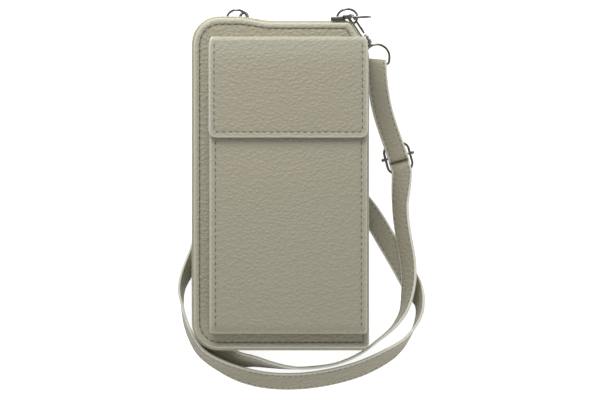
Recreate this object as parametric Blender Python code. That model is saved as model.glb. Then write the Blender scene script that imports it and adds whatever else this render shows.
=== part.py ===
"""Zip-around phone wallet with a flap pocket and a clip-on shoulder strap.

The wallet lies on its back on a table, over part of its own strap, as it was
photographed: +Z is up, +Y points to the end with the rings and +X to the spine.
Run it with: blender --background --python part.py
"""

from math import acos, atan2, ceil, cos, hypot, pi, radians, sin, tan

import bmesh
import bpy
from mathutils import Matrix, Vector

# Driving sizes, in metres.
GAP = 0.0003
LEATHER = 0.0016
LINING = 0.0005
OVERRUN = 0.001
WELD = 0.000002

# Case outline.
BODY_W = 0.105
BODY_H = 0.195
CORNER_R = 0.015
SMALL_CORNER_R = 0.003
CHAMFER_W = 0.012
CHAMFER_H = 0.018
TOP_RISE = 0.0027
RISE_START_X = -0.008
RISE_END_X = -0.024
RISE_BLEND_R = 0.04
EDGE_ROUND = 0.0005

# Heights.
REST_LIFT = 0.0074
INNER_DEPTH = 0.0122
TAPE_INSET = 0.0005
TAPE_T = 0.0008
COIL_H = 0.0009
COIL_PROUD = 0.0016
COIL_INNER = 0.0014
ZIP_END_X = 0.046
ZIP_END_UP = 0.0045

# Inside of the back half.
LINING_INSET = 0.0019
CARD_SIDE_MARGIN = 0.006
CARD_END_MARGIN = 0.012
CARD_BACKING_T = 0.0005
CARD_STRIP_T = 0.0008
CARD_STRIP_H = 0.044
CARD_STRIP_GAP = 0.006
CARD_NOTCH_R = 0.007
CARD_STRIP_COUNT = 3
COIN_POCKET_T = 0.0024
COIN_MARGIN = 0.009
COIN_H = 0.105
COIN_R = 0.004

# Phone pocket on the cover.
POCKET_LEFT = -0.043
POCKET_RIGHT = 0.0514
POCKET_BOTTOM = -0.0888
POCKET_TOP = 0.0873
POCKET_DEPTH = 0.0096
POCKET_CORNER_R = 0.003
POCKET_ROUND = 0.0028

# Flap.
FLAP_LEFT = -0.0435
FLAP_RIGHT = 0.0518
FLAP_BOTTOM = 0.0286
FLAP_CORNER_R = 0.0045
FLAP_T = 0.0012
FLAP_LINING_MARGIN = 0.003
FLAP_ROOT_GAP = 0.0006
SNAP_R = 0.006
SNAP_X = 0.0035
SNAP_ABOVE_EDGE = 0.012
STUD_T = 0.0004
FLAP_EDGE_ROUND = 0.0004
SEAT_SIDES = 32

# Zip slider and its pull.
SLIDER_X = 0.034
SLIDER_L = 0.009
SLIDER_WALL = 0.002
SLIDER_BASE_T = 0.0008
SLIDER_LUG_T = 0.0008
PULL_L = 0.0135
PULL_W = 0.005
PULL_T = 0.001
PULL_PIN_R = 0.0006
PULL_HOLE_R = 0.0012

# Rings, tabs and hooks.
RING_R = 0.0061
RING_WIRE_R = 0.00075
RING_STEPS = 32
TAB_W = 0.004
TAB_HOLE_R = 0.0019
TAB_WALL = 0.0009
TAB_ROOT_L = 0.011
TAB_ROOT_T = 0.0012
TAB_SIDE_SHIFT = 0.0013
TAB_EYE_SHIFT = 0.0003
LEFT_RING_X = -0.0267
LEFT_RING_DROP = 0.0025
LEFT_RING_Z = 0.0029
RIGHT_RING_X = 0.0395
RIGHT_RING_DROP = 0.0013
RIGHT_RING_Z = 0.0038
LEFT_NOSE_X = -0.0226
LEFT_NOSE_RISE = 0.0064
RIGHT_NOSE_X = 0.0411
RIGHT_NOSE_RISE = 0.0047
LOOP_HALF_W = 0.0029
HOOK_WIRE_R = 0.001
GATE_WIRE_R = 0.0007
GATE_TOP = 0.0049
GATE_HINGE = 0.0136
GATE_TAIL = 0.0003
STUB_TOP = 0.0149
SHOULDER = 0.0168
BARREL_TOP = 0.0155
BARREL_END = 0.0211
BARREL_R = 0.0028
POST_R = 0.0011
POST_TOP = 0.0178
KNOB_R = 0.0008
KNOB_L = 0.001
KNOB_AT = 0.0105
SWIVEL_SIDE_CLEARANCE = 0.0006
SWIVEL_END_CLEARANCE = 0.00045
SWIVEL_DROP = 0.004
SWIVEL_CORNER_R = 0.002
SWIVEL_STEPS = 14

# Strap and its buckle.
STRAP_W = 0.0123
STRAP_T = 0.0018
STRAP_CHAMFER = 0.0005
STRAP_STEP = 0.0075
FOLD_STEPS = 6
BUCKLE_W = 0.0152
BUCKLE_UP = 0.0075
BUCKLE_DOWN = 0.0096
BUCKLE_CORNER_R = 0.0046
BAR_OVERHANG = 0.0016
BAR_BALL_R = 0.0011
BUCKLE_BAR_X = 398.0
BUCKLE_BAR_Y = 156.3
LEFT_END_L = 0.022

# Angles, in degrees.
LEFT_RING_TILT = -30.5
LEFT_RING_ROLL = 2.4
RIGHT_RING_TILT = -37.1
RIGHT_RING_ROLL = -3.0
LEFT_HOOK_HEADING = (0.0, -1.0)
RIGHT_HOOK_HEADING = (0.549, -0.836)
LEFT_HOOK_PITCH = 2.5
RIGHT_HOOK_PITCH = 3.7
LEFT_HOOK_ROLL = 40.9
RIGHT_HOOK_ROLL = 59.7
RIGHT_STRAP_HEADING = (-0.08, -0.997)
LEFT_STRAP_HEADING = (-0.16, -0.987)
BUCKLE_HEADING = (0.26, -0.966)
BUCKLE_WRAP = (66.0, 8.0)
BAR_WRAP = (12.0, 168.0)
ARC_STEP = 15.0
SHARP_ANGLE = 35.0

# The case's middle, width and height in the photograph, in its pixels.
PICTURE_X0 = 281.5
PICTURE_Y0 = 185.5
PICTURE_CASE_W = 175.0
PICTURE_CASE_H = 325.0

# Places that follow from the sizes above.
SWIVEL_R = STRAP_W / 2 + SWIVEL_SIDE_CLEARANCE + RING_WIRE_R
SWIVEL_CENTRE = BARREL_END + SWIVEL_END_CLEARANCE + RING_WIRE_R + SWIVEL_R
LEFT_RING_EYE = (LEFT_RING_X, BODY_H / 2 - LEFT_RING_DROP, LEFT_RING_Z)
RIGHT_RING_EYE = (RIGHT_RING_X, BODY_H / 2 - RIGHT_RING_DROP, RIGHT_RING_Z)
LEFT_HOOK_NOSE = (LEFT_NOSE_X, BODY_H / 2 + LEFT_NOSE_RISE)
RIGHT_HOOK_NOSE = (RIGHT_NOSE_X, BODY_H / 2 + RIGHT_NOSE_RISE)

# Heights that follow from the sizes above.
BACK_Z0 = REST_LIFT
BACK_Z1 = BACK_Z0 + LEATHER
INNER_Z0 = BACK_Z1 + GAP
INNER_Z1 = INNER_Z0 + INNER_DEPTH
COVER_Z0 = INNER_Z1 + GAP
COVER_Z1 = COVER_Z0 + LEATHER
MIDDLE_Z = (INNER_Z0 + INNER_Z1) / 2
POCKET_Z0 = COVER_Z1 + GAP
POCKET_Z1 = POCKET_Z0 + POCKET_DEPTH
STUD_Z0 = POCKET_Z1 + GAP
STUD_Z1 = STUD_Z0 + STUD_T
FLAP_LINING_Z0 = STUD_Z1 + GAP
FLAP_LINING_Z1 = FLAP_LINING_Z0 + LINING
FLAP_Z0 = FLAP_LINING_Z1 + GAP
FLAP_Z1 = FLAP_Z0 + FLAP_T
FLAP_AXIS_Z = (FLAP_Z0 + FLAP_Z1) / 2
FLAP_ROOT_Y0 = POCKET_TOP + FLAP_ROOT_GAP
FLAP_ROOT_AXIS_Z = POCKET_Z0 + FLAP_T / 2
FLAP_AXIS_Y = FLAP_ROOT_Y0 + FLAP_T / 2
HINGE_X = BODY_W / 2 + GAP / 3
HINGE_Z = INNER_Z1 + GAP / 2
BAR_Z = STRAP_T + GAP + RING_WIRE_R
FRONT_LAYER_LIFT = BAR_Z + RING_WIRE_R + GAP
HUMP_LIFT = FRONT_LAYER_LIFT + GAP / 3
CROSSING_LIFT = 0.0026

# Shares of a curve's handles, a hook's parts and the strap's rise over the buckle.
HALF_SHARE = 0.5
CORNER_ROOM_SHARE = 0.98
NOTCH_DEPTH_SHARE = 0.6
BEND_SHARE = 0.72
BAR_SHARE = 0.92
TAIL_SHARES = (0.35, 0.7, 1.0)
RISE_SHARES = ((0.14, 0.0), (0.26, 0.02), (0.36, 0.14), (0.48, 0.4), (0.6, 0.7), (0.72, 0.94), (0.84, 1.0))
GATE_SIDE = -1

COLOURS = {
    "leather": ((0.47, 0.42, 0.35), 0.55, 0.0),
    "lining": ((0.36, 0.32, 0.27), 0.8, 0.0),
    "zip_tape": ((0.52, 0.47, 0.40), 0.8, 0.0),
    "zip_coil": ((0.70, 0.64, 0.52), 0.5, 0.0),
    "steel": ((0.55, 0.55, 0.56), 0.25, 1.0),
    "magnet_cap": ((0.60, 0.60, 0.62), 0.35, 1.0),
}


# Scene helpers.
def clear_scene():
    for item in list(bpy.data.objects):
        bpy.data.objects.remove(item, do_unlink=True)
    for item in list(bpy.data.collections):
        bpy.data.collections.remove(item)


def collection(name):
    made = bpy.data.collections.new(name)
    bpy.context.scene.collection.children.link(made)
    return made


def material(slot):
    found = bpy.data.materials.get(slot)
    if found:
        return found
    colour, roughness, metallic = COLOURS[slot]
    made = bpy.data.materials.new(slot)
    made.use_nodes = True
    shader = made.node_tree.nodes["Principled BSDF"]
    shader.inputs["Base Color"].default_value = (*colour, 1.0)
    shader.inputs["Roughness"].default_value = roughness
    shader.inputs["Metallic"].default_value = metallic
    return made


def pivot(name, place, parent=None):
    """An empty at a joint's axis, which carries the pieces that move with it."""
    made = bpy.data.objects.new(name, None)
    made.location = place
    PARTS.objects.link(made)
    if parent:
        made.parent = parent
        made.matrix_parent_inverse = Matrix.Translation(parent["place"]).inverted()
    made["place"] = tuple(place)
    return made


def piece(name, mesh, slot, parent, matrix=None):
    """One sub-part: a mesh in world places, or in its own frame with a matrix."""
    made = bpy.data.objects.new(name, mesh)
    mesh.name = name
    mesh.materials.clear()
    mesh.materials.append(material(slot))
    PARTS.objects.link(made)
    if matrix:
        made.matrix_world = matrix
    made.parent = parent
    made.matrix_parent_inverse = Matrix.Translation(parent["place"]).inverted()
    return made


def cutter(name, mesh, parent):
    """A tool for a cut, carried by the same pivot as the piece that it cuts."""
    made = bpy.data.objects.new(name, mesh)
    made.parent = parent
    made.matrix_parent_inverse = Matrix.Translation(parent["place"]).inverted()
    made.hide_render = True
    made.display_type = "WIRE"
    CUTTERS.objects.link(made)
    return made


def boolean(target, other, operation):
    change = target.modifiers.new(operation.lower(), "BOOLEAN")
    change.operation = operation
    change.solver = "EXACT"
    change.object = other


# Outlines.
def offset(corners, inset, closed=True):
    """Corners moved to the left of the way round, with their radii to match."""
    count = len(corners)
    sides = []
    for i in range(count if closed else count - 1):
        x0, y0, _ = corners[i]
        x1, y1, _ = corners[(i + 1) % count]
        length = hypot(x1 - x0, y1 - y0)
        nx, ny = -(y1 - y0) / length, (x1 - x0) / length
        sides.append((x0 + nx * inset, y0 + ny * inset, (x1 - x0) / length, (y1 - y0) / length, length))
    moved = []
    for i in range(count):
        if not closed and i == 0:
            moved.append((sides[0][0], sides[0][1], 0.0))
            continue
        if not closed and i == count - 1:
            x, y, dx, dy, length = sides[-1]
            moved.append((x + dx * length, y + dy * length, 0.0))
            continue
        ax, ay, adx, ady, _ = sides[i - 1]
        bx, by, bdx, bdy, _ = sides[i % len(sides)]
        turn = adx * bdy - ady * bdx
        along = ((bx - ax) * bdy - (by - ay) * bdx) / turn
        radius = corners[i][2] - inset if turn > 0 else corners[i][2] + inset
        moved.append((ax + adx * along, ay + ady * along, max(radius, 0.0)))
    return moved


def rounded(corners, closed=True):
    """Points of an outline whose corners are arcs of the radii given."""
    count = len(corners)
    points = []
    for i, (x, y, radius) in enumerate(corners):
        if radius <= 0 or (not closed and i in (0, count - 1)):
            points.append((x, y))
            continue
        px, py, _ = corners[i - 1]
        qx, qy, _ = corners[(i + 1) % count]
        before = Vector((px - x, py - y))
        after = Vector((qx - x, qy - y))
        room = min(before.length, after.length)
        before.normalize()
        after.normalize()
        opening = acos(max(-1.0, min(1.0, before.dot(after))))
        reach = min(radius / tan(opening / 2), room * CORNER_ROOM_SHARE)
        radius = reach * tan(opening / 2)
        middle = (before + after).normalized() * (radius / sin(opening / 2))
        centre = Vector((x, y)) + middle
        start = Vector((x, y)) + before * reach - centre
        end = Vector((x, y)) + after * reach - centre
        sweep = atan2(start.x * end.y - start.y * end.x, start.dot(end))
        parts = max(2, ceil(abs(sweep) / radians(ARC_STEP)))
        for k in range(parts + 1):
            angle = sweep * k / parts
            points.append((
                centre.x + start.x * cos(angle) - start.y * sin(angle),
                centre.y + start.x * sin(angle) + start.y * cos(angle),
            ))
    return points


def circle(x, y, radius, sides=24):
    turns = [2 * pi * i / sides for i in range(sides)]
    return [(x + radius * cos(turn), y + radius * sin(turn)) for turn in turns]


def rectangle(left, right, bottom, top, radius=0.0):
    return [(right, bottom, radius), (right, top, radius), (left, top, radius), (left, bottom, radius)]


def baked(made):
    """The evaluated mesh of a curve object, closed at its seams, in place of the curve."""
    bpy.context.scene.collection.objects.link(made)
    graph = bpy.context.evaluated_depsgraph_get()
    mesh = bpy.data.meshes.new_from_object(made.evaluated_get(graph))
    bpy.data.objects.remove(made, do_unlink=True)
    shape = bmesh.new()
    shape.from_mesh(mesh)
    bmesh.ops.remove_doubles(shape, verts=shape.verts, dist=WELD)
    bmesh.ops.dissolve_degenerate(shape, dist=WELD, edges=shape.edges)
    bmesh.ops.recalc_face_normals(shape, faces=shape.faces)
    shape.to_mesh(mesh)
    shape.free()
    return mesh


def slab(loops, z0, z1, top_round=0.0, bottom_round=0.0):
    """A flat outline, with any holes, from z0 to z1, its rims rounded."""
    outline = bpy.data.curves.new("outline", "CURVE")
    outline.dimensions = "2D"
    outline.fill_mode = "BOTH"
    outline.extrude = (z1 - z0) / 2
    for loop in loops:
        spline = outline.splines.new("POLY")
        spline.points.add(len(loop) - 1)
        for point, (x, y) in zip(spline.points, loop):
            point.co = (x, y, 0.0, 1.0)
        spline.use_cyclic_u = True
    mesh = baked(bpy.data.objects.new("outline", outline))
    mesh.transform(Matrix.Translation((0.0, 0.0, (z0 + z1) / 2)))
    for level, radius in ((z1, top_round), (z0, bottom_round)):
        if radius > 0:
            round_rim(mesh, level, radius)
    return mesh


def round_rim(mesh, level, radius):
    shape = bmesh.new()
    shape.from_mesh(mesh)
    rim = []
    for edge in shape.edges:
        at_level = all(abs(vert.co.z - level) < WELD for vert in edge.verts)
        if at_level and len(edge.link_faces) == 2 and edge.calc_face_angle() > HALF_SHARE:
            rim.append(edge)
    bmesh.ops.bevel(shape, geom=rim, offset=radius, segments=3, profile=HALF_SHARE, affect="EDGES")
    bmesh.ops.triangulate(shape, faces=shape.faces)
    shape.to_mesh(mesh)
    shape.free()


def wire(points, radius, closed=False, resolution=1):
    """A round wire along the points."""
    path = bpy.data.curves.new("wire", "CURVE")
    path.dimensions = "3D"
    path.bevel_depth = radius
    path.bevel_resolution = resolution
    path.use_fill_caps = True
    spline = path.splines.new("POLY")
    spline.points.add(len(points) - 1)
    for point, place in zip(spline.points, points):
        point.co = (*place, 1.0)
    spline.use_cyclic_u = closed
    return baked(bpy.data.objects.new("wire", path))


def rod(start, end, radius, sides=16):
    """A round rod between two points."""
    start, end = Vector(start), Vector(end)
    shape = bmesh.new()
    bmesh.ops.create_cone(
        shape, cap_ends=True, segments=sides, radius1=radius, radius2=radius, depth=(end - start).length
    )
    mesh = bpy.data.meshes.new("rod")
    shape.to_mesh(mesh)
    shape.free()
    turn = Vector((0.0, 0.0, 1.0)).rotation_difference(end - start).to_matrix().to_4x4()
    mesh.transform(Matrix.Translation((start + end) / 2) @ turn)
    return mesh


def block(low, high):
    shape = bmesh.new()
    bmesh.ops.create_cube(shape, size=1.0)
    mesh = bpy.data.meshes.new("block")
    shape.to_mesh(mesh)
    shape.free()
    low, high = Vector(low), Vector(high)
    size = high - low
    mesh.transform(Matrix.Translation((low + high) / 2) @ Matrix.Diagonal((*size, 1.0)))
    return mesh


def joined(name, first, others, cuts=()):
    """One body from overlapping meshes, less the cuts."""
    made = bpy.data.objects.new(name, first)
    bpy.context.scene.collection.objects.link(made)
    helpers = []
    for operation, group in (("UNION", others), ("DIFFERENCE", cuts)):
        for mesh in group:
            helper = bpy.data.objects.new("helper", mesh)
            bpy.context.scene.collection.objects.link(helper)
            helpers.append(helper)
            boolean(made, helper, operation)
    graph = bpy.context.evaluated_depsgraph_get()
    mesh = bpy.data.meshes.new_from_object(made.evaluated_get(graph))
    for item in helpers + [made]:
        bpy.data.objects.remove(item, do_unlink=True)
    return mesh


# Case.
def case_corners():
    right, top = BODY_W / 2, BODY_H / 2
    return [
        (right, -top, SMALL_CORNER_R),
        (right, top - CHAMFER_H, SMALL_CORNER_R),
        (right - CHAMFER_W, top, SMALL_CORNER_R),
        (RISE_START_X, top, RISE_BLEND_R),
        (RISE_END_X, top + TOP_RISE, RISE_BLEND_R),
        (-right, top + TOP_RISE, CORNER_R),
        (-right, -top, CORNER_R),
    ]


def zip_path(inset):
    """The zip's way round, from the chamfer over the top and left to the bottom."""
    right, top = BODY_W / 2, BODY_H / 2
    corners = case_corners()
    share = ZIP_END_UP / CHAMFER_H
    start = (right - CHAMFER_W * share, top - CHAMFER_H * (1 - share), 0.0)
    path = [start] + corners[2:] + [(ZIP_END_X, -top, 0.0)]
    return rounded(offset(path, inset, closed=False), closed=False)


def zip_band(outer, inner):
    return zip_path(outer) + zip_path(inner)[::-1]


def make_case(back, cover):
    outline = rounded(case_corners())
    piece("back_panel", slab([outline], BACK_Z0, BACK_Z1, 0.0, EDGE_ROUND), "leather", back)
    piece("front_panel", slab([outline], COVER_Z0, COVER_Z1, EDGE_ROUND), "leather", cover)
    inner = rounded(offset(case_corners(), LINING_INSET))
    piece("back_lining", slab([inner], INNER_Z0, INNER_Z0 + LINING), "lining", back)
    piece("front_lining", slab([inner], INNER_Z1 - LINING, INNER_Z1), "lining", cover)
    spine_left = BODY_W / 2 - LEATHER
    spine_top = BODY_H / 2 - CHAMFER_H - LINING_INSET
    spine = slab(
        [rounded(rectangle(spine_left, BODY_W / 2, -BODY_H / 2 + LINING_INSET, spine_top))],
        INNER_Z0, INNER_Z1,
    )
    piece("spine", spine, "leather", back)


def make_zip(back, cover):
    tape = [zip_band(TAPE_INSET, TAPE_INSET + TAPE_T)]
    coil = [zip_band(-COIL_PROUD, COIL_INNER)]
    lower, upper = MIDDLE_Z - GAP / 2, MIDDLE_Z + GAP / 2
    piece("back_zip_tape", slab(tape, INNER_Z0, lower - COIL_H - GAP), "zip_tape", back)
    piece("back_zip_teeth", slab(coil, lower - COIL_H, lower), "zip_coil", back)
    piece("front_zip_teeth", slab(coil, upper, upper + COIL_H), "zip_coil", cover)
    piece("front_zip_tape", slab(tape, upper + COIL_H + GAP, INNER_Z1), "zip_tape", cover)


def make_slider(slider):
    """A saddle outside the teeth, whose foot reaches under the back row."""
    edge = BODY_H / 2
    left, right = SLIDER_X - SLIDER_L / 2, SLIDER_X + SLIDER_L / 2
    wall_y = edge + COIL_PROUD + GAP
    foot_z1 = MIDDLE_Z - GAP / 2 - COIL_H - GAP
    lug_in = PULL_W / 2 + GAP
    lug_out = lug_in + SLIDER_LUG_T
    wall = block((left, wall_y, MIDDLE_Z - lug_out), (right, wall_y + SLIDER_WALL, MIDDLE_Z + lug_out))
    foot = block((left, edge, foot_z1 - SLIDER_BASE_T), (right, wall_y + SLIDER_WALL / 2, foot_z1))
    pin_x, pin_y = pull_axis()
    pin_half = (lug_in + lug_out) / 2
    pin = rod((pin_x, pin_y, MIDDLE_Z - pin_half), (pin_x, pin_y, MIDDLE_Z + pin_half), PULL_PIN_R, 12)
    lugs = []
    for near, far in ((lug_in, lug_out), (-lug_out, -lug_in)):
        low = (right - SLIDER_WALL, pin_y - PULL_HOLE_R, MIDDLE_Z + near)
        lugs.append(block(low, (pin_x + PULL_HOLE_R, pin_y + PULL_HOLE_R, MIDDLE_Z + far)))
    piece("zip_slider", joined("zip_slider", wall, [foot] + lugs + [pin]), "steel", slider)


def pull_axis():
    pin_x = SLIDER_X + SLIDER_L / 2 + PULL_HOLE_R + GAP + PULL_PIN_R
    pin_y = BODY_H / 2 + COIL_PROUD + GAP + PULL_HOLE_R + PULL_T / 2
    return pin_x, pin_y


def make_pull(pull):
    """A flat puller that hangs on the slider's pin."""
    pin_x, pin_y = pull_axis()
    eye = PULL_HOLE_R + PULL_T / 2
    outline = rectangle(pin_x, pin_x + PULL_L, pin_y - PULL_T / 2, pin_y + PULL_T / 2)
    z0, z1 = MIDDLE_Z - PULL_W / 2, MIDDLE_Z + PULL_W / 2
    blade = slab([rounded(outline)], z0, z1)
    barrel = rod((pin_x, pin_y, z0), (pin_x, pin_y, z1), eye, 16)
    bore_r = PULL_PIN_R + GAP
    bore = rod((pin_x, pin_y, z0 - OVERRUN), (pin_x, pin_y, z1 + OVERRUN), bore_r, 16)
    piece("zip_pull", joined("zip_pull", blade, [barrel], [bore]), "steel", pull)


# Inside.
def make_cards(back):
    right, top = BODY_W / 2, BODY_H / 2
    left = -right + CARD_SIDE_MARGIN
    right = right - CARD_SIDE_MARGIN
    z = INNER_Z0 + LINING + GAP
    low = -top + CARD_END_MARGIN
    high = low + CARD_STRIP_COUNT * CARD_STRIP_H + (CARD_STRIP_COUNT - 1) * CARD_STRIP_GAP
    backing = rectangle(left, right, low - CARD_STRIP_GAP / 2, high + CARD_STRIP_GAP / 2, SMALL_CORNER_R)
    piece("card_backing", slab([rounded(backing)], z, z + CARD_BACKING_T), "lining", back)
    z += CARD_BACKING_T + GAP
    middle = (left + right) / 2
    for i in range(CARD_STRIP_COUNT):
        y0 = low + i * (CARD_STRIP_H + CARD_STRIP_GAP)
        y1 = y0 + CARD_STRIP_H
        notch = [
            (middle + CARD_NOTCH_R, y1, GAP),
            (middle + CARD_NOTCH_R * NOTCH_DEPTH_SHARE, y1 - CARD_NOTCH_R * NOTCH_DEPTH_SHARE, OVERRUN),
            (middle - CARD_NOTCH_R * NOTCH_DEPTH_SHARE, y1 - CARD_NOTCH_R * NOTCH_DEPTH_SHARE, OVERRUN),
            (middle - CARD_NOTCH_R, y1, GAP),
        ]
        corners = [(right, y0, OVERRUN), (right, y1, OVERRUN)] + notch
        corners += [(left, y1, OVERRUN), (left, y0, OVERRUN)]
        name = ("card_slot_lower", "card_slot_middle", "card_slot_upper")[i]
        piece(name, slab([rounded(corners)], z, z + CARD_STRIP_T), "leather", back)
    z += CARD_STRIP_T + GAP
    y0 = -top + COIN_MARGIN
    coin = rectangle(left + COIN_MARGIN / 2, right, y0, y0 + COIN_H, COIN_R)
    piece("coin_pocket", slab([rounded(coin)], z, z + COIN_POCKET_T, EDGE_ROUND, EDGE_ROUND), "lining", back)


# Phone pocket and flap.
def make_pocket(cover):
    outline = rectangle(POCKET_LEFT, POCKET_RIGHT, POCKET_BOTTOM, POCKET_TOP, POCKET_CORNER_R)
    shell = slab([rounded(outline)], POCKET_Z0, POCKET_Z1, POCKET_ROUND)
    pocket = piece("phone_pocket", shell, "leather", cover)
    hollow = block(
        (POCKET_LEFT + LEATHER, POCKET_BOTTOM + LEATHER, POCKET_Z0 - OVERRUN),
        (POCKET_RIGHT - LEATHER, POCKET_TOP + OVERRUN, POCKET_Z1 - LEATHER),
    )
    boolean(pocket, cutter("phone_space", hollow, cover), "DIFFERENCE")
    snap_y = FLAP_BOTTOM + SNAP_ABOVE_EDGE
    seat = rod(
        (SNAP_X, snap_y, POCKET_Z1 - LEATHER - OVERRUN),
        (SNAP_X, snap_y, POCKET_Z1 + OVERRUN),
        SNAP_R + GAP, SEAT_SIDES,
    )
    boolean(pocket, cutter("snap_seat", seat, cover), "DIFFERENCE")
    socket_z0 = POCKET_Z1 - LEATHER + GAP / 3
    socket = slab([circle(SNAP_X, snap_y, SNAP_R)], socket_z0, POCKET_Z1 - GAP / 3)
    piece("snap_socket", socket, "magnet_cap", cover)


def make_flap(root_hinge, flap):
    """The flap in two: the wall that closes the pocket's mouth, and the flap that folds from it."""
    root = block(
        (FLAP_LEFT, FLAP_ROOT_Y0, POCKET_Z0),
        (FLAP_RIGHT, FLAP_ROOT_Y0 + FLAP_T, FLAP_AXIS_Z - FLAP_T),
    )
    piece("flap_root", root, "leather", root_hinge)
    top = FLAP_AXIS_Y + FLAP_T / 2
    corners = [
        (FLAP_RIGHT, FLAP_BOTTOM, FLAP_CORNER_R),
        (FLAP_RIGHT, top, 0.0),
        (FLAP_LEFT, top, 0.0),
        (FLAP_LEFT, FLAP_BOTTOM, FLAP_CORNER_R),
    ]
    piece("flap", slab([rounded(corners)], FLAP_Z0, FLAP_Z1, FLAP_EDGE_ROUND), "leather", flap)
    inner = rectangle(
        FLAP_LEFT + FLAP_LINING_MARGIN, FLAP_RIGHT - FLAP_LINING_MARGIN,
        FLAP_BOTTOM + FLAP_LINING_MARGIN, FLAP_AXIS_Y - FLAP_LINING_MARGIN, SMALL_CORNER_R,
    )
    piece("flap_lining", slab([rounded(inner)], FLAP_LINING_Z0, FLAP_LINING_Z1), "lining", flap)
    snap_y = FLAP_BOTTOM + SNAP_ABOVE_EDGE
    stud = slab([circle(SNAP_X, snap_y, SNAP_R)], STUD_Z0, STUD_Z1)
    piece("snap_stud", stud, "magnet_cap", flap)


# Rings and tabs.
def make_tab(name, eye, back):
    """A leather loop under the back panel, with its eye round the ring's wire."""
    x, y, z = eye
    y += TAB_EYE_SHIFT
    reach = TAB_HOLE_R + TAB_WALL
    root_z1 = BACK_Z0 - GAP
    root_z0 = root_z1 - TAB_ROOT_T
    corners = [
        (y - TAB_ROOT_L, root_z0, 0.0),
        (y - reach, root_z0, TAB_ROOT_T / 2),
        (y - reach, z - reach, reach),
        (y + reach, z - reach, reach),
        (y + reach, root_z1, reach),
        (y - TAB_ROOT_L, root_z1, 0.0),
    ]
    mesh = slab([rounded(corners), circle(y, z, TAB_HOLE_R, 16)], -TAB_W / 2, TAB_W / 2)
    upright = Matrix(((0, 0, 1, x - TAB_SIDE_SHIFT), (1, 0, 0, 0), (0, 1, 0, 0), (0, 0, 0, 1)))
    mesh.transform(upright)
    piece(name, mesh, "leather", back)


def make_ring(name, eye, tilt, roll, parent):
    slope = Vector((0.0, cos(radians(tilt)), -sin(radians(tilt))))
    up = Vector((0.0, sin(radians(tilt)), cos(radians(tilt))))
    side = Vector((cos(radians(roll)), 0.0, 0.0)) + up * sin(radians(roll))
    centre = Vector(eye) + slope * RING_R
    points = []
    for i in range(RING_STEPS):
        angle = 2 * pi * i / RING_STEPS
        points.append(centre + side * (RING_R * cos(angle)) + slope * (RING_R * sin(angle)))
    piece(name, wire(points, RING_WIRE_R, closed=True, resolution=2), "steel", parent)


# Hooks. Each is drawn in its own frame: the nose at the origin, the barrel towards -Y.
def hook_frame(nose, heading, pitch, roll):
    ahead = Vector((*heading, 0.0)).normalized() * cos(radians(pitch))
    ahead += Vector((0.0, 0.0, -sin(radians(pitch))))
    flat = ahead.cross(Vector((0.0, 0.0, 1.0))).normalized()
    lifted = flat.cross(ahead)
    side = flat * cos(radians(roll)) + lifted * sin(radians(roll))
    normal = side.cross(-ahead)
    height = BAR_Z + SWIVEL_CENTRE * sin(radians(pitch))
    place = Vector((*nose, height))
    columns = Matrix((side, -ahead, normal)).transposed().to_4x4()
    return Matrix.Translation(place) @ columns


def at(frame, *place):
    return frame @ Vector(place)


def hook_arc(start, end, steps=10):
    points = []
    for i in range(steps + 1):
        angle = start + (end - start) * i / steps
        points.append((LOOP_HALF_W * cos(angle), -LOOP_HALF_W + LOOP_HALF_W * sin(angle), 0.0))
    return points


def make_hook(side, frame, hook, gate):
    """A swivel snap hook: a bent wire on a bored barrel, with a lever across its side."""
    arm = LOOP_HALF_W
    nose_end = [(GATE_SIDE * arm, -GATE_TOP + HOOK_WIRE_R, 0.0)]
    bend = [(arm, -GATE_HINGE, 0.0), (arm * BEND_SHARE, -BARREL_TOP, 0.0), (0.0, -SHOULDER, 0.0)]
    body = wire(nose_end + hook_arc(pi, 0.0) + bend, HOOK_WIRE_R)
    root_y = GATE_WIRE_R - SHOULDER
    gate_arm = GATE_SIDE * arm
    stub = [(0.0, root_y, 0.0), (gate_arm * BEND_SHARE, -BARREL_TOP, 0.0), (gate_arm, -STUB_TOP, 0.0)]
    shoulder = wire(stub, HOOK_WIRE_R)
    barrel = rod((0.0, -BARREL_TOP, 0.0), (0.0, -BARREL_END, 0.0), BARREL_R, 20)
    bore = rod((0.0, -POST_TOP + GAP, 0.0), (0.0, -BARREL_END - OVERRUN, 0.0), POST_R + GAP, 16)
    mesh = joined("hook", barrel, [body, shoulder], [bore])
    piece(side + "_hook", mesh, "steel", hook, frame)
    lever = wire([(gate_arm, -GATE_TOP, 0.0), (gate_arm, -GATE_HINGE - GATE_TAIL, 0.0)], GATE_WIRE_R)
    knob = rod((gate_arm, -KNOB_AT, 0.0), (gate_arm + GATE_SIDE * KNOB_L, -KNOB_AT, 0.0), KNOB_R, 12)
    piece(side + "_hook_gate", joined("gate", lever, [knob]), "steel", gate, frame)


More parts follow.
